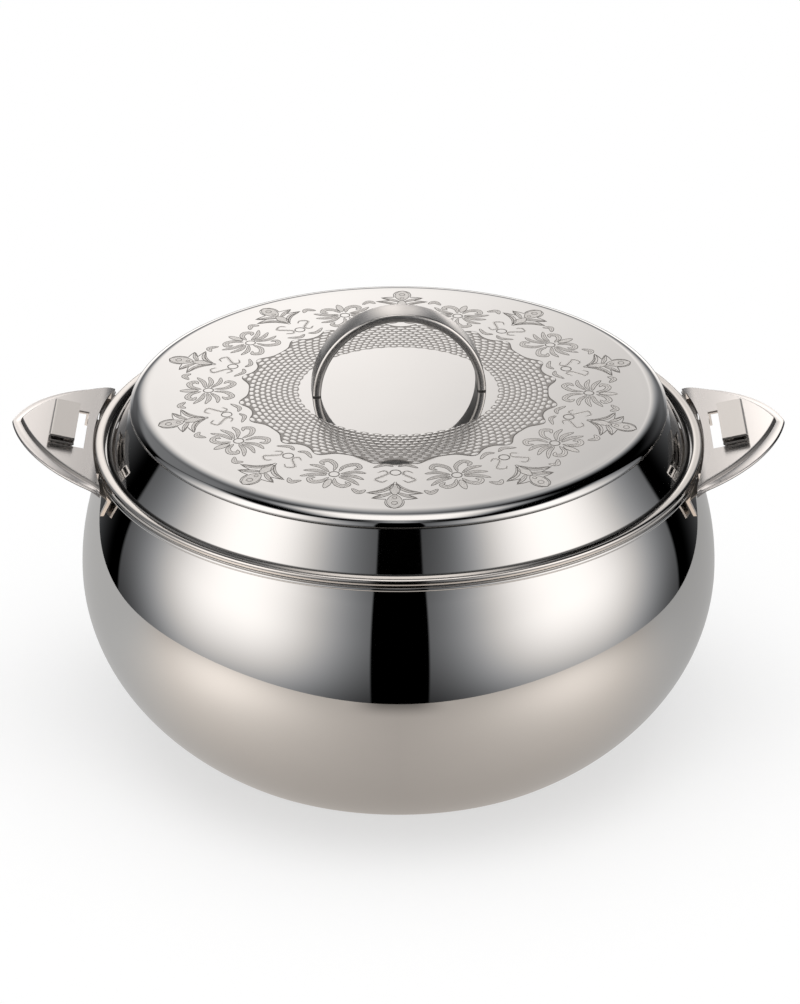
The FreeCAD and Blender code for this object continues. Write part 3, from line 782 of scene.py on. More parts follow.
etched_field = etched("etched_field", (0.78, 0.76, 0.735), 0.34, 0.02)
etched_ground = etched("etched_ground", (0.44, 0.42, 0.40), 0.42, 0.03)
etched_line = etched("etched_line", (0.27, 0.255, 0.24), 0.45, 0.03)
print("etched finishes:", [material.name for material in (etched_field, etched_ground, etched_line)])

# %% [markdown]
# A stroke is a path with a width. Blender's curve objects could be bevelled into strokes, but they would
# have to be bent onto the crowned top afterwards. Here each stroke is a closed strip of four points per
# step, and one function sets its points down on the top, so the strokes lie on it exactly.

# %% Place of the pattern on the lid
FIELD_TOP = 0.03
LINE_TOP = 0.06
SUNK = -0.05
PATTERN_TURN = math.radians(-0.9)
PATTERN_SHIFT = 1.3


def set_down(x, y, level):
    """Points of the pattern on the lid's top: turned and shifted a little, as a stencil laid by hand is."""
    on_x = x * math.cos(PATTERN_TURN) - y * math.sin(PATTERN_TURN)
    on_y = x * math.sin(PATTERN_TURN) + y * math.cos(PATTERN_TURN) - PATTERN_SHIFT
    return np.stack([on_x, on_y, dome_height(np.hypot(on_x, on_y)) + level], axis=-1)


print("the pattern stands", LINE_TOP, "mm over the lid and is sunk", -SUNK, "mm into it")

# %% [markdown]
# A drawn line needs few points: a curve flows through them. A petal is a line whose width grows and shrinks.

# %% Paths, pens and petals
PETAL_FULLNESS = 0.6
PETAL_STEPS = 18
OUTLINE_HALF = 0.15
VEIN_HALF = 0.08


def flowing(points, count):
    """A smooth curve through a few points: cubic pieces, each with the mean slope of its neighbours."""
    points = np.asarray(points, float)
    slope = np.gradient(points, axis=0)
    place = np.linspace(0, len(points) - 1, count)
    step = np.minimum(place.astype(int), len(points) - 2)
    t = (place - step)[:, None]
    return (points[step] * (1 + 2 * t) * (1 - t) ** 2 + points[step + 1] * t ** 2 * (3 - 2 * t)
            + slope[step] * t * (1 - t) ** 2 - slope[step + 1] * t ** 2 * (1 - t))


def circle(across, out, radius, count=20):
    """A circle as a path that doesn't repeat its first point."""
    return oval((across, out), radius, radius, 0, 360, count + 1)[:-1]


def pen(path, half_width, top=LINE_TOP, closed=False):
    """A flat stroke along a path: each section is the path plus and minus the half width, at the
    level of the top and again just under the sheet."""
    path = np.asarray(path, float)
    ahead = np.roll(path, -1, 0) - np.roll(path, 1, 0) if closed else np.gradient(path, axis=0)
    ahead /= np.linalg.norm(ahead, axis=1)[:, None]
    beside = np.column_stack([-ahead[:, 1], ahead[:, 0]]) * np.broadcast_to(half_width, len(path))[:, None]
    high = np.full((len(path), 1), top)
    low = np.full((len(path), 1), SUNK)
    left, right = path + beside, path - beside
    corners = [np.hstack(pair) for pair in ((left, high), (right, high), (right, low), (left, low))]
    return np.stack(corners, axis=1), closed


def petal(points, half_width):
    """A leaf along a curve; its half width is a power of the sine of the way along.
    Returns its field, and its outline and vein."""
    path = flowing(points, PETAL_STEPS)
    share = np.linspace(0, 1, PETAL_STEPS)
    field = pen(path, half_width * np.sin(np.pi * share) ** PETAL_FULLNESS, FIELD_TOP)
    left, right = field[0][:, 0, :2], field[0][:, 1, :2]
    outline = pen(np.concatenate([left, right[-2:0:-1]]), OUTLINE_HALF, closed=True)
    return [field], [outline, pen(path[2:-4], VEIN_HALF)]


print("a petal has", PETAL_STEPS, "steps along its middle")

# %% [markdown]
# A stroke is drawn once and laid down ten times. Its direction away from the lid's middle is turned to each
# angle, and its mirror image is laid beside it.

# %% Strokes round the lid
REPEATS = 10


def on_lid(drawing, angle, hand):
    """(across, out, level) laid on the lid's top with its outward direction at an angle from -Y."""
    across, out, level = np.moveaxis(drawing, -1, 0)
    across = across * hand
    x = across * math.cos(angle) + out * math.sin(angle)
    y = across * math.sin(angle) - out * math.cos(angle)
    return set_down(x, y, level)


def repeated(strokes, middle, hands=(1, -1)):
    """Parts for put_mesh: each stroke ten times round from a middle angle, also mirrored."""
    parts = []
    for drawing, closed in strokes:
        faces = cells(len(drawing), 4, closed, True)
        ends = [] if closed else [[np.arange(4), np.arange(4) + 4 * (len(drawing) - 1)]]
        for turn in range(REPEATS):
            angle = math.radians(middle + 360 / REPEATS * turn)
            parts += [(on_lid(drawing, angle, hand), faces, *ends) for hand in hands]
    return parts


def lay_pattern(name, parts, material):
    """One piece of the pattern, which moves with the lid."""
    finish_mesh(put_mesh(name, parts, material), body="lid")


print("the pattern repeats", REPEATS, "times, every", 360 / REPEATS, "degrees")

# %% [markdown]
# A palmette has curls towards the weave, three leaves to each side and curls towards the rim. A lily bud
# stands between two palmettes, with two scrolls and a wavy leaf over it. Only the right half is drawn.

# %% Draw the palmettes and the lily buds
palmette = [([(1.2, 81), (2.0, 76), (6.0, 72.8), (8.6, 75.2), (6.6, 77.2)], 1.15),
            ([(2.6, 82.5), (7.5, 79.2), (12.6, 78.8)], 0.95),
            ([(2.9, 84.0), (8.0, 82.8), (13.5, 84.2)], 1.0),
            ([(2.7, 85.2), (8.0, 86.2), (13.2, 89.4)], 1.0),
            ([(1.2, 86.8), (3.2, 91.0), (6.8, 92.4), (8.8, 90.0), (6.6, 88.4)], 1.25),
            ([(11.2, 93.0), (15.0, 95.2), (17.2, 92.4)], 1.2)]
lily = [([(0.6, 87.6), (2.6, 91.4), (6.2, 94.2), (11.5, 95.6)], 1.1),
        ([(1.2, 95.4), (4.8, 97.8), (9.2, 99.8)], 1.0),
        ([(1.0, 72.6), (4.5, 71.2), (9.5, 73.8)], 0.9)]
scroll = [(7.5, 78.2), (4.6, 76.6), (3.2, 79.0), (6.0, 81.8), (8.4, 84.2), (5.6, 86.4), (3.2, 84.6)]
bud_edge = np.concatenate([flowing([(0.3, 86.2), (1.8, 90.0), (5.4, 93.4), (11.8, 95.6)], 14),
                           flowing([(11.8, 95.6), (8.2, 96.5), (5.4, 97.0)], 7)[1:],
                           flowing([(5.4, 97.0), (7.2, 98.6), (9.6, 100.0)], 7)[1:],
                           flowing([(9.6, 100.0), (6.6, 100.7), (3.7, 100.9)], 7)[1:],
                           flowing([(3.7, 100.9), (4.0, 104.0), (2.8, 107.0), (0.1, 108.5)], 12)[1:]])
fields, lines = [], []
for shapes, middle in ((palmette, 18), (lily, 0)):
    for points, half_width in shapes:
        field, line = petal(points, half_width)
        fields += repeated(field, middle)
        lines += repeated(line, middle)
for points, half_width, middle in (([(0, 88.0), (0, 92.0), (0, 96.2)], 1.5, 18),
                                   ([(0, 97.0), (0, 103.0), (0, 108.4)], 3.3, 0),
                                   ([(0, 88.0), (0, 92.0), (0, 97.4)], 2.2, 0)):
    field, line = petal(points, half_width)
    fields += repeated(field, middle, (1,))
    lines += repeated(line[:1], middle, (1,))
scroll_path = flowing(scroll, 34)
scroll_width = 0.35 + 0.45 * np.sin(np.pi * np.linspace(0, 1, 34))
fields += repeated([pen(scroll_path, scroll_width, FIELD_TOP)], 0)
lines += repeated([pen(scroll_path[1:-1], 0.16), pen(bud_edge, 0.18)], 0)
rings = [pen(circle(0, 78.0, 2.3), 0.24, closed=True), pen(circle(0, 104.0, 1.3, 14), 0.16, closed=True),
         pen(circle(0, 99.6, 0.9, 12), 0.14, closed=True)]
lines += repeated(rings, 0, (1,)) + repeated([pen(circle(0, 83.6, 2.2), 0.24, closed=True)], 18, (1,))
lay_pattern("lid_etched_fields", fields, etched_field)
lay_pattern("lid_etched_lines", lines, etched_line)

# %% [markdown]
# The woven band is etched ground with small polished pillows left standing in it, row after row, each row
# shifted by half a pillow. Its outer edge swings out on both sides of every lily bud.

# %% Draw the woven band's ground
weave_start = 44.0
weave_end = 65.6
wave, wave_at, wave_spread = 4.8, 7.5, 4.2
middle_wave, middle_spread = 0.8, 3.0
nick_depth, nicks = 0.3, 50
edge_half_width = 0.26
ground_angle = np.linspace(0, 2 * np.pi, 720, endpoint=False)


def weave_reach(angle):
    """Outer radius of the band: a circle plus two bell curves beside each lily bud and one at it. A bell
    curve is e to the minus square of the degrees from its middle, in spreads."""
    off = np.degrees(angle) % (360 / REPEATS)
    off = np.minimum(off, 360 / REPEATS - off)
    return (weave_end + wave * np.exp(-((off - wave_at) / wave_spread) ** 2)
            + middle_wave * np.exp(-(off / middle_spread) ** 2))


def polar(radius, angle, level):
    """Points on the lid at a radius and an angle from -Y."""
    x = radius * np.sin(angle)
    return set_down(x, -radius * np.cos(angle), np.broadcast_to(level, x.shape))


reach = weave_reach(ground_angle)
inner_edge = weave_start + nick_depth * np.cos(nicks * ground_angle)
rows = [(0.0, SUNK)] + [(share, FIELD_TOP) for share in np.linspace(0, 1, 8)] + [(1.0, SUNK)]
ground = np.stack([polar(inner_edge + (reach - inner_edge) * share, ground_angle, level)
                   for share, level in rows])
lay_pattern("lid_weave_ground", [(ground, cells(*ground.shape[:2], True, True))], etched_ground)
weave_edge = np.column_stack([np.sin(ground_angle), np.cos(ground_angle)]) * reach[:, None]
edge_line = on_lid(pen(weave_edge, edge_half_width, closed=True)[0], 0.0, 1)
lay_pattern("lid_weave_edge", [(edge_line, cells(*edge_line.shape[:2], True, True))], etched_line)

# %% [markdown]
# A pillow has eight corners in the sheet, the same eight a little above it, and one higher point in its
# middle. Its half width is given at one radius and grows with the radius, so that the rows stay evenly
# filled. All pillows are worked out together: the corner numbers of one are added to the first number of
# each.

# %% Draw the pillows of the weave
pillows_round = 100
pillow_rows = 11
first_row = 45.2
row_step = 2.42
edge_room = 0.9
pillow_half_length = 0.86
pillow_half_width = 1.28
width_radius = 56
pillow_side = 0.1
pillow_top = 0.2
corner = np.array([(1, 0.45), (0.55, 1), (-0.55, 1), (-1, 0.45), (-1, -0.45), (-0.55, -1), (0.55, -1),
                   (1, -0.45)])
row_number = np.arange(pillow_rows)[:, None]
pillow_angle = (np.arange(pillows_round)[None, :] + (row_number % 2) / 2) * 2 * np.pi / pillows_round
pillow_radius = np.broadcast_to(first_row + row_step * row_number, pillow_angle.shape)
inside = pillow_radius + edge_room < weave_reach(pillow_angle)
angle, radius = pillow_angle[inside][:, None], pillow_radius[inside][:, None]
out = radius + pillow_half_length * corner[:, 1]
around = angle + pillow_half_width / width_radius * corner[:, 0]
pillow_points = np.concatenate([polar(out, around, pillow_side), polar(out, around, SUNK),
                                polar(radius, angle, pillow_top)], axis=1)
number = np.arange(8)
following = (number + 1) % 8
walls = np.column_stack([number, following, following + 8, number + 8])
tops = np.column_stack([number, following, np.full(8, 16)])
first = (np.arange(len(pillow_points)) * pillow_points.shape[1])[:, None, None]
groups = [(shape[None] + first).reshape(-1, shape.shape[1]) for shape in (walls, tops, (number + 8)[None])]
lay_pattern("lid_weave_pillows", [(pillow_points, *groups)], lid_steel)
print("pillows:", len(pillow_points))

# %% [markdown]
# ## Side handles
# Each handle is a pressed sheet drawn flat and then tilted up towards its tip: a leaf raised out of a
# narrow flange whose edge is rolled under. Two long arcs and a round tip bound the flange and, with other
# numbers, the raised part. The inner edge follows the pot.

# %% The leaf outlines and their plane


def in_handle_plane(points, side):
    """Points (outward, across, up) of the handle's own plane, tilted and moved to one side of the pot."""
    outward, across, up = np.moveaxis(np.asarray(points, float), -1, 0)
    x = handle_root + outward * math.cos(handle_slope) - up * math.sin(handle_slope)
    z = handle_root_height + outward * math.sin(handle_slope) + up * math.cos(handle_slope)
    return np.stack([side * x, side * across, z], axis=-1)


def pressed(points, side):
    """The same for the sheet, which bends down behind the lock by the square of the distance."""
    points = np.array(points, float)
    points[..., 2] -= bend * np.maximum(-bend_start - points[..., 0], 0.0) ** 2
    return in_handle_plane(points, side)


def leaf_line(leaf, inset, count=56, tip_count=9):
    """A leaf's two arcs and its tip at an inset from the edge, from the left root corner to the right.
    An arc starts where its circle crosses the circle of the inner edge, and ends where the tip begins."""
    arc_radius, back, across, tip_round = leaf
    tip_outward = -back + math.sqrt((arc_radius - tip_round) ** 2 - across ** 2)
    tip_angle = math.atan2(across, tip_outward + back)
    apart = math.hypot(leaf_root_radius - back, across)
    inset = np.asarray(inset, float)[..., None]
    radius = arc_radius - inset
    along = (radius ** 2 - leaf_root_radius ** 2 + apart ** 2) / (2 * apart)
    start = math.atan2(across, back - leaf_root_radius) - np.arccos(along / radius)
    angle = start + (tip_angle - start) * np.linspace(0, 1, count)
    side = np.stack([-back + radius * np.cos(angle), -across + radius * np.sin(angle)], axis=-1)
    turn = np.linspace(tip_angle, -tip_angle, tip_count)[1:-1]
    tip_radius = tip_round - inset
    tip = np.stack([tip_outward + tip_radius * np.cos(turn), tip_radius * np.sin(turn)], axis=-1)
    other = side[..., ::-1, :] * [1, -1]
    return np.concatenate([side, tip, other], axis=-2)


print("handle is", np.round(leaf_line(flange_leaf, 0.0).max(axis=0) * [1, 2], 1), "mm long and wide")

# %% [markdown]
# The border is one section carried along both outlines: round the rolled edge, over the flange, up the
# step and into the raised leaf. Each point of the section is tied to the outline it belongs to, so the flange
# can be wide at the tip and narrow at the root.

# %% Border of a side handle
flange_low = -3.7
border_inside = flange_low + 0.3
edge_half = 0.65
edge_height = flange_low + edge_half
rolled_edge = oval((edge_half, edge_height), edge_half, edge_half, -90, -270, 17)
flange_part = np.concatenate([[(1.6, border_inside)], rolled_edge,
                              [(edge_half + 0.5, edge_height + edge_half - 0.12)]])
step_part = np.concatenate([[(-0.5, flange_level - 0.02), (-0.12, flange_level + 0.1)],
                            oval((leaf_round, -leaf_round), leaf_round, leaf_round, 160, 90, 9),
                            [(1.5, -0.06), (1.5, -0.8), (leaf_sheet, -1.0),
                             (leaf_sheet, border_inside), (0.2, border_inside)]])
border_points = np.concatenate([leaf_line(flange_leaf, flange_part[:, 0]),
                                leaf_line(raised_leaf, step_part[:, 0])])
border_levels = np.concatenate([flange_part[:, 1], step_part[:, 1]])[:, None, None]
border_levels = np.broadcast_to(border_levels, border_points.shape[:2] + (1,))
border_grid = np.concatenate([border_points, border_levels], axis=-1).transpose(1, 0, 2)
print("the border's section has", border_grid.shape[1], "points")

# %% [markdown]
# The raised field has a hole, the window. Its cells run like spokes from the outline to the window, over the
# top of the sheet and back along its underside, so the field is one closed ring.

# %% Field of a side handle
FIELD_STEPS = 13


def field_ring():
    """The raised field as a closed ring of cells between the outline and the window, by direction. The
    window's edge lies at one over the larger of cosine / half length and sine / half width."""
    middle = (window_start + window_end) / 2
    half = (window_end - window_start) / 2
    edge = leaf_line(raised_leaf, leaf_round - 0.03)
    across = np.linspace(edge[-1, 1], edge[0, 1], 60)[1:-1]
    root = np.column_stack([np.sqrt(leaf_root_radius ** 2 - across ** 2) - leaf_root_radius, across])
    loop = np.concatenate([edge, root])
    direction = np.unwrap(np.arctan2(loop[:, 1], loop[:, 0] - middle))
    order = np.argsort(direction % (2 * np.pi))
    bearing = (direction % (2 * np.pi))[order]
    reach = np.hypot(loop[:, 0] - middle, loop[:, 1])[order]
    corner = math.atan2(window_half_width, half)
    corners = np.array([corner, np.pi - corner, np.pi + corner, 2 * np.pi - corner])
    bearings = np.sort(np.concatenate([bearing, corners]))
    outer = np.interp(bearings, bearing, reach, period=2 * np.pi)
    inner = 1 / np.maximum(np.abs(np.cos(bearings)) / half, np.abs(np.sin(bearings)) / window_half_width)
    over = np.linspace(0, 1, FIELD_STEPS)
    share = np.concatenate([[0], over, [1], over[-2:0:-1]])[:, None]
    level = np.full_like(share, -leaf_sheet)
    level[1:FIELD_STEPS + 1] = 0.0
    radius = outer + (inner - outer) * share
    return np.stack([middle + radius * np.cos(bearings), radius * np.sin(bearings),
                     np.broadcast_to(level, radius.shape)], axis=-1)


field_grid = field_ring()
print("the field has", field_grid.shape[1], "spokes")

# %% [markdown]
# Under the inner edge the sheet turns down and back towards the rim, which closes the gap to the pot. It
# is left open where the prongs of the lock and the brackets pass. Its steel is dark, as painted shade in the
# gap.

# %% Lip under the inner edge
lip_low = -3.4
lip_top = -0.5
lip_sheet = 0.6
lip_stops = [17.9, 25.3]
prong_clear = -1.42
lip_reach = rim_radius - 0.1
hair = 0.02


def lip_grid(start, stop):
    """The lip between two places across the handle: down from the inner edge, which is an arc, and back
    to the rim, which is a circle. For both, outward is the square root of (radius squared - across
    squared), less the distance from the centre to the handle's root. The rim's is also moved by the
    lip's lean and divided by the slope's cosine. Where a prong passes, only the flat part is left."""
    across = np.linspace(start, stop, 13)[:, None]
    edge = np.sqrt(leaf_root_radius ** 2 - across ** 2) - leaf_root_radius
    lean = lip_low * math.sin(handle_slope)
    rim = (np.sqrt(lip_reach ** 2 - across ** 2) - handle_root + lean) / math.cos(handle_slope)
    prongs = lip_stops[0] < abs(start + stop) / 2 < lip_stops[1]
    front = np.full_like(edge, prong_clear) if prongs else edge + lip_sheet
    back = front - hair if prongs else edge
    rim = np.minimum(rim, back - hair)
    inside = lip_low + lip_sheet
    top = inside + hair if prongs else lip_top
    outward = np.hstack([front, front, rim, rim, back, back])
    level = np.array([top, lip_low, lip_low, inside, inside, top])
    return np.stack([outward, np.broadcast_to(across, outward.shape),
                     np.broadcast_to(level, outward.shape)], axis=-1)


root_corner = leaf_line(raised_leaf, 0.5)[0, 1]
stops = [-root_corner, -lip_stops[1], -lip_stops[0], lip_stops[0], lip_stops[1], root_corner]
lip_grids = [lip_grid(start + hair / 2, stop - hair / 2) for start, stop in zip(stops, stops[1:])]
print("the lip has", len(lip_grids), "parts")

# %% [markdown]
# Both handles are alike, so one recipe makes them. A mirrored copy would have its faces looking inwards.
# Here the side changes the sign of both x and y, which is half a turn about the pot's axis, and a turn
# leaves the faces as they are.

# %% Make the side handles
SIDES = (("left", -1), ("right", 1))


def make_side_handle(label, side):
    """One pressed handle: the border, the field with its window, and the lip under the inner edge."""
    border = rod(pressed(border_grid, side))
    field = (pressed(field_grid, side), cells(*field_grid.shape[:2], True, True))
    piece = put_mesh(label + "_leaf_handle", [border, field], handle_steel)
    # The lip's finish is dark: painted shade in the gap to the rim.
    lips = put_mesh(label + "_handle_lip", [rod(pressed(grid, side)) for grid in lip_grids], lip_painted_shade)
    finish_mesh(lips, body="pot")
    finish_mesh(piece, body="pot", stands_for=[label + "_handle_plate"])


for label, side in SIDES:
    make_side_handle(label, side)

# %% [markdown]
# ## Thumb caps of the locks
# Each cap is a strip folded back on itself, so from its ends one looks into the fold. The section is two
# matched lines, the outside and the inside of the strip, and the cap is that section drawn across the handle.

# %% Section of a thumb cap
cap_end = cap_start + cap_length
fold_inner = 0.25
near_fold = cap_end - cap_sheet - 0.4
bevel = 0.12


def fold_line(inset, corner):
    """One side of the folded strip: along the bottom, round the two corners of the fold, and back."""
    end, low, high = cap_end - inset, cap_lift + inset, cap_height - inset
    return profile([(cap_start, low), (near_fold, low)],
                   oval((end - corner, low + corner), corner, corner, -90, 0, 7),
                   oval((end - corner, high - corner), corner, corner, 0, 90, 7),
                   [(near_fold, high), (cap_start, high)])


outside = fold_line(0.0, cap_sheet)
inside = fold_line(cap_sheet, fold_inner)
slimmer = (outside - inside) * bevel
slimmer[[0, -1], 0] -= bevel
full_strip = np.concatenate([outside, inside[::-1]])
slim_strip = np.concatenate([outside - slimmer, (inside + slimmer)[::-1]])
print("the cap's section has", len(full_strip), "points")

# %% [markdown]
# The cap has four sections across: the full one twice, and a slimmer one at each side, which bevels the edges
# that a thumb would feel. An end face joins each point of the outside to its match on the inside.

# %% Make the thumb caps
CAP_SHARP = math.radians(20)
bevel_width = 0.15


def make_thumb_cap(label, side):
    """The folded strip from one side of the window to the other."""
    beside = cap_half_width - bevel_width
    stations = ((slim_strip, cap_half_width), (full_strip, beside), (full_strip, -beside),
                (slim_strip, -cap_half_width))
    grid = np.stack([np.column_stack([line[:, 0], np.full(len(line), across), line[:, 1]])
                     for line, across in stations])
    rows, columns = grid.shape[:2]
    step = np.arange(columns // 2 - 1)
    end = np.column_stack([step, step + 1, columns - 2 - step, columns - 1 - step])
    part = (in_handle_plane(grid, side), cells(rows, columns, wrap_columns=True), end,
            end + (rows - 1) * columns)
    piece = put_mesh(label + "_thumb_cap", [part], cap_steel)
    finish_mesh(piece, CAP_SHARP, label + "_latch", [label + "_latch_cap"])


for label, side in SIDES:
    make_thumb_cap(label, side)

# %% [markdown]
# ## Pieces that stay as packed
# Brackets, forks, rivets, screws and the foam have flat faces and true edges already. They could be drawn
# again, but nothing would be gained. They keep their packed solids and get their finishes.

# %% Foam and plastic
foam = bpy.data.materials.new("foam")
shader = Shader(foam)
foam_cells = shader.node("ShaderNodeTexVoronoi", None, {"Vector": shader.place(), "Scale": 900.0})
foam_colour = shader.blend(foam_cells, colour(0.80, 0.70, 0.46), colour(0.66, 0.54, 0.32))
shader.surface(foam_colour, 0.9, shader.bumps(foam_cells, 0.5), 0.0)

plastic = bpy.data.materials.new("plug_plastic")
shader = Shader(plastic)
grain = shader.noise(shader.place(), 1500.0)
plastic_colour = shader.blend(grain, colour(0.022, 0.022, 0.024), colour(0.034, 0.034, 0.036))
shader.surface(plastic_colour, 0.5, shader.bumps(grain, 0.2, 0.5 * MM), 0.0)
print("more finishes:", foam.name, plastic.name)

# %% Finish the packed pieces
finish_of = {"body_insulation": foam, "lid_insulation": foam, "foam_fill_plug": plastic,
             "lid_fill_plug": plastic, "handle_backing_plate": satin_steel, "handle_screws": satin_steel,
             "handle_washers": satin_steel}
for label in ("left", "right"):
    for part in ("latch_fork", "latch_rivets"):
        finish_of[label + "_" + part] = satin_steel
    finish_of[label + "_handle_brackets"] = bracket_steel
for node, material in finish_of.items():
    for material_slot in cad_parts[node].material_slots:
        material_slot.material = material
print("packed pieces with a finish:", len(finish_of))

# %% [markdown]
# ## Camera
# The lens is long and looks down at a bit under 28 degrees, as a studio does for cookware, so that the rim
# reads as a clean ellipse and both handles show. A shorter lens would stand nearer and stretch the front of
# the belly.

# %% Make the camera
camera_place = (0.00066, -1.4641, 0.8690)
camera_tilt = math.radians(62.32)
camera = bpy.data.objects.new("camera", bpy.data.cameras.new("camera"))
bpy.context.scene.collection.objects.link(camera)
camera.location = camera_place
camera.rotation_euler = (camera_tilt, 0, 0)
camera.data.lens = 132.7
camera.data.sensor_width = 36.0
bpy.context.scene.camera = camera
print("camera looks down by", round(90 - math.degrees(camera_tilt), 2), "degrees")

# %% [markdown]
# ## Studio
# Polished steel has no look of its own: it shows the room. The room here is a white studio with a wide soft
# box on each side, a dark gap between them behind the camera, a bright panel overhead and a white wall at
# the back. Lamps and panels could be modelled, but each would also light the table. So the room is drawn by
# direction in the world's shader, and only mirrors see it. Everything else is lit by a soft white that is
# strongest straight overhead.

# %% Directions in the room
world = bpy.data.worlds.new("studio")
bpy.context.scene.world = world
room = Shader(world)
to_x, to_y, to_z = room.axes(room.place("Generated"))
signed = room.math("ARCTAN2", to_x, -to_y) * (180 / math.pi)
bearing = room.math("ABSOLUTE", signed)
height = room.math("ARCSINE", to_z) * (180 / math.pi)
side = room.math("SIGN", to_x)
from_back = 180.0 - bearing
print("bearings are in degrees from the camera's side, heights in degrees over the horizon")

# %% [markdown]
# Each light is a product of soft steps and bell curves of the direction, times its strength. A step whose
# lower number comes first is the start of a light, and one whose higher number comes first is its end.

# %% Lights beside the camera
box_bearing = 61.8
box_half_width = 33.7
box_middle = room.math("MAXIMUM", height - 20.0, 0.0) * 0.3 + side * 1.9 + box_bearing
off_middle = room.math("ABSOLUTE", bearing - box_middle) * (1 / box_half_width)
box_glow = room.math("EXPONENT", -room.math("POWER", off_middle, 2.5)) * 0.98 + 0.07
gap = room.math("ABSOLUTE", signed - 0.5)
soft_box = (box_glow * room.smooth(height, -38.0, 8.0) * room.smooth(height + side * 2.0, 53.0, 41.0)
            * room.smooth(gap, 9.5, 10.5) * room.smooth(bearing, 117.0, 115.0)) * 1.5
front_wash = (room.smooth(height, 47.0, 58.0) * room.smooth(height, 78.0, 66.0)
              * room.bell(bearing, 0.0, 14.0) * 0.45)
print("soft boxes at", box_bearing, "degrees, with a gap between them")

# %% [markdown]
# The lid's top mirrors the wall at the back, which glows more to the left than to the right, as beside a
# window. A low strip joins it to the table. The panel overhead shows in the rim, the ring and the lid's
# shoulder.

# %% Lights behind the pot and overhead
rear_dusk = room.smooth(bearing, 122.0, 160.0) * room.smooth(height, 34.0, 14.0) * 0.16
uneven = (1.0 - to_x * 2.2 + room.smooth(to_x, 0.08, 0.14) * 0.4 + room.bell(to_x, -0.02, 0.06) * 0.12)
back_panel = (room.smooth(from_back, 24.0, 3.0) * room.smooth(height, 9.0, 20.0)
              * room.smooth(height, 74.0, 16.0) * uneven) * 1.1
back_low = room.smooth(height, 9.0, 2.0) * room.smooth(from_back, 34.0, 12.0) * 1.45
high_left = (room.smooth(height, 18.0, 28.0) * room.smooth(height, 66.0, 50.0)
             * room.smooth(to_x, -0.1, -0.4) * room.smooth(bearing, 114.0, 124.0) * 0.24)
overhead = (room.smooth(to_y, 0.52, 0.24) * room.smooth(to_y, -0.34, -0.1)
            * room.smooth(room.math("ABSOLUTE", to_x), 0.42, 0.14) * room.smooth(to_z, 0.7, 0.86)) * 1.45
picture = soft_box + rear_dusk + back_panel + back_low + high_left + overhead + front_wash
print("the room's picture has", len(room.tree.nodes), "nodes")

# %% [markdown]
# A light path node tells who asks: the camera sees plain white, mirrors see the room, and every other ray
# gets the soft white, which grows with the eighth power of the upward part of its direction.

# %% Finish the studio
is_camera = room.node("ShaderNodeLightPath", output="Is Camera Ray")
is_glossy = room.node("ShaderNodeLightPath", output="Is Glossy Ray")
steep = to_z * to_z
steep = steep * steep
soft_white = 0.15 + steep * steep * 4.25
shown = is_glossy * picture + (1.0 - is_glossy) * soft_white
strength = is_camera + (1.0 - is_camera) * shown
cool, warm = colour(0.94, 0.96, 1.0), colour(1.0, 0.965, 0.94)
mirror_colour = room.blend(room.smooth(picture, 0.15, 0.9), cool, warm)
room_colour = room.blend(is_glossy, colour(1, 1, 1), mirror_colour)
background = room.node("ShaderNodeBackground", None, {"Color": room_colour, "Strength": strength})
room.finish(background, "ShaderNodeOutputWorld")
print("the studio has", len(room.tree.nodes), "nodes")

# %% [markdown]
# ## Floor
# The table top is a pale board. A plain plane would do for the shadow, but the belly mirrors the table, and
# a mirror shows where a real table ends. So where mirrors look at it, it ends at the table's edge, and its
# colour is painted light:
# a painted pool of light in front of each soft box, painted shade at the front middle, brighter to the left,
# warmer towards the front.
# Most of it glows for mirrors. To the eye it is plain white, and part of it glows, which makes the pot's own
# shadow fainter.

# %% Finish of the table top
table_half_length = 0.385
table_half_depth = 0.325
corner_power = 2.4
floor_material = bpy.data.materials.new("table_top")
table = Shader(floor_material)
floor_x, floor_y = table.axes(table.place())[:2]
mirrored = table.node("ShaderNodeLightPath", output="Is Glossy Ray")
aside = table.math("ABSOLUTE", floor_x)
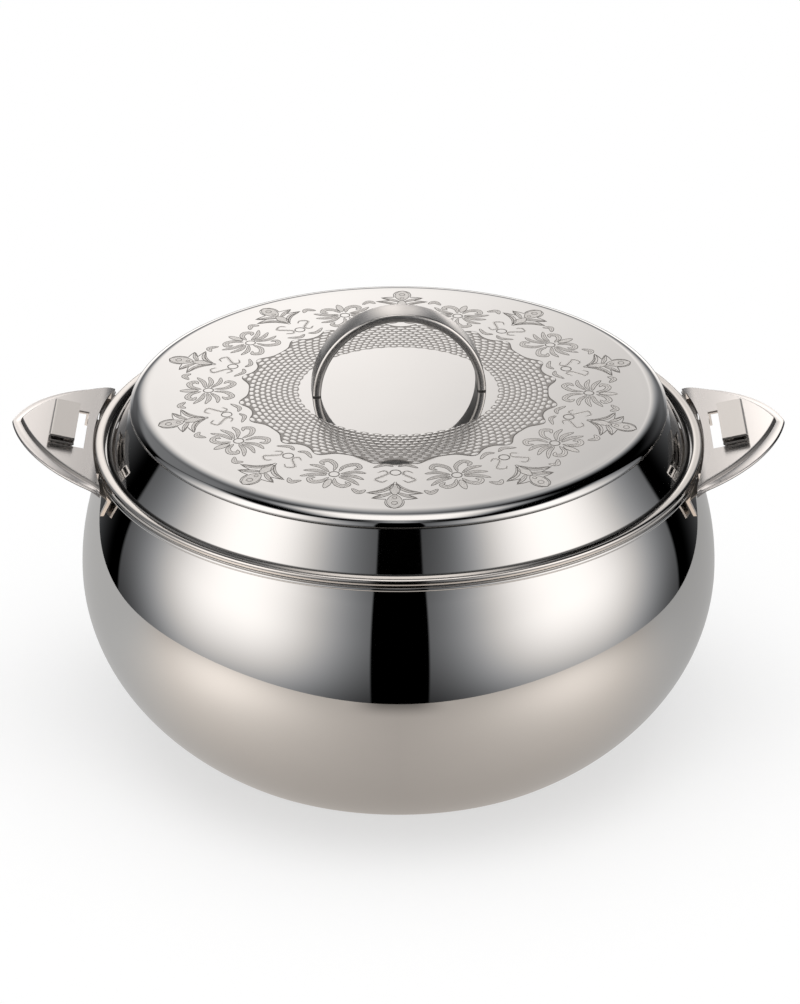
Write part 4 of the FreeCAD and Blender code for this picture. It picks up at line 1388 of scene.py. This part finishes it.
# A painted pool of light in front of each soft box, and painted shade at the front middle; only mirrors see
# them.
painted_light_pool = table.bell(aside, 0.225, 0.13) * table.bell(floor_y, -0.19, 0.105)
strip_shade = table.smooth(aside, 0.08, 0.02) * table.smooth(floor_y, -0.26, -0.33)
glow = (painted_light_pool * 0.667 + 0.515) * (1.0 - floor_x * 0.3) * (1.0 - strip_shade * 0.6)
board_tint = table.blend(table.smooth(floor_y, -0.12, 0.0), colour(1.0, 0.92, 0.85), colour(1.0, 0.99, 0.98))
floor_colour = table.blend(mirrored, colour(1, 1, 1), table.scaled(board_tint, glow))
board = table.node("ShaderNodeBsdfDiffuse", None, {"Color": floor_colour, "Roughness": 0.0})
# The board glows as painted light: most for mirrors and part to the eye, which fades the pot's shadow.
board_glow = table.node("ShaderNodeEmission", None, {"Color": floor_colour, "Strength": 1.0})
seen = mirrored * 0.85 + table.node("ShaderNodeLightPath", output="Is Camera Ray") * 0.62
board = table.node("ShaderNodeMixShader", None, {0: seen, 1: board, 2: board_glow})
front = table.math("MINIMUM", floor_y, 0.0)
edge_x = table.math("POWER", aside / table_half_length, corner_power)
edge_y = table.math("POWER", table.math("ABSOLUTE", front) / table_half_depth, corner_power)
past_edge = table.math("GREATER_THAN", edge_x + edge_y, 1.0)
clear = table.node("ShaderNodeBsdfTransparent")
table.finish(table.node("ShaderNodeMixShader", None, {0: mirrored * past_edge, 1: board, 2: clear}))
print("table top, m:", 2 * table_half_length, "wide, and its front edge", table_half_depth, "off")

# %% Make the floor
floor_size = 8.0
floor_mesh = bpy.data.meshes.new("table_top")
floor_mesh.from_pydata([(-floor_size, -floor_size, 0), (floor_size, -floor_size, 0),
                        (floor_size, floor_size, 0), (-floor_size, floor_size, 0)], [], [(0, 1, 2, 3)])
floor_mesh.materials.append(floor_material)
floor = bpy.data.objects.new("table_top", floor_mesh)
bpy.context.scene.collection.objects.link(floor)
print("floor is", 2 * floor_size, "m wide")

# %% [markdown]
# ## Picture
# A film-like view transform would turn white into grey. The standard one keeps each colour as it is written.

# %% Picture settings
bpy.context.scene.view_settings.view_transform = "Standard"
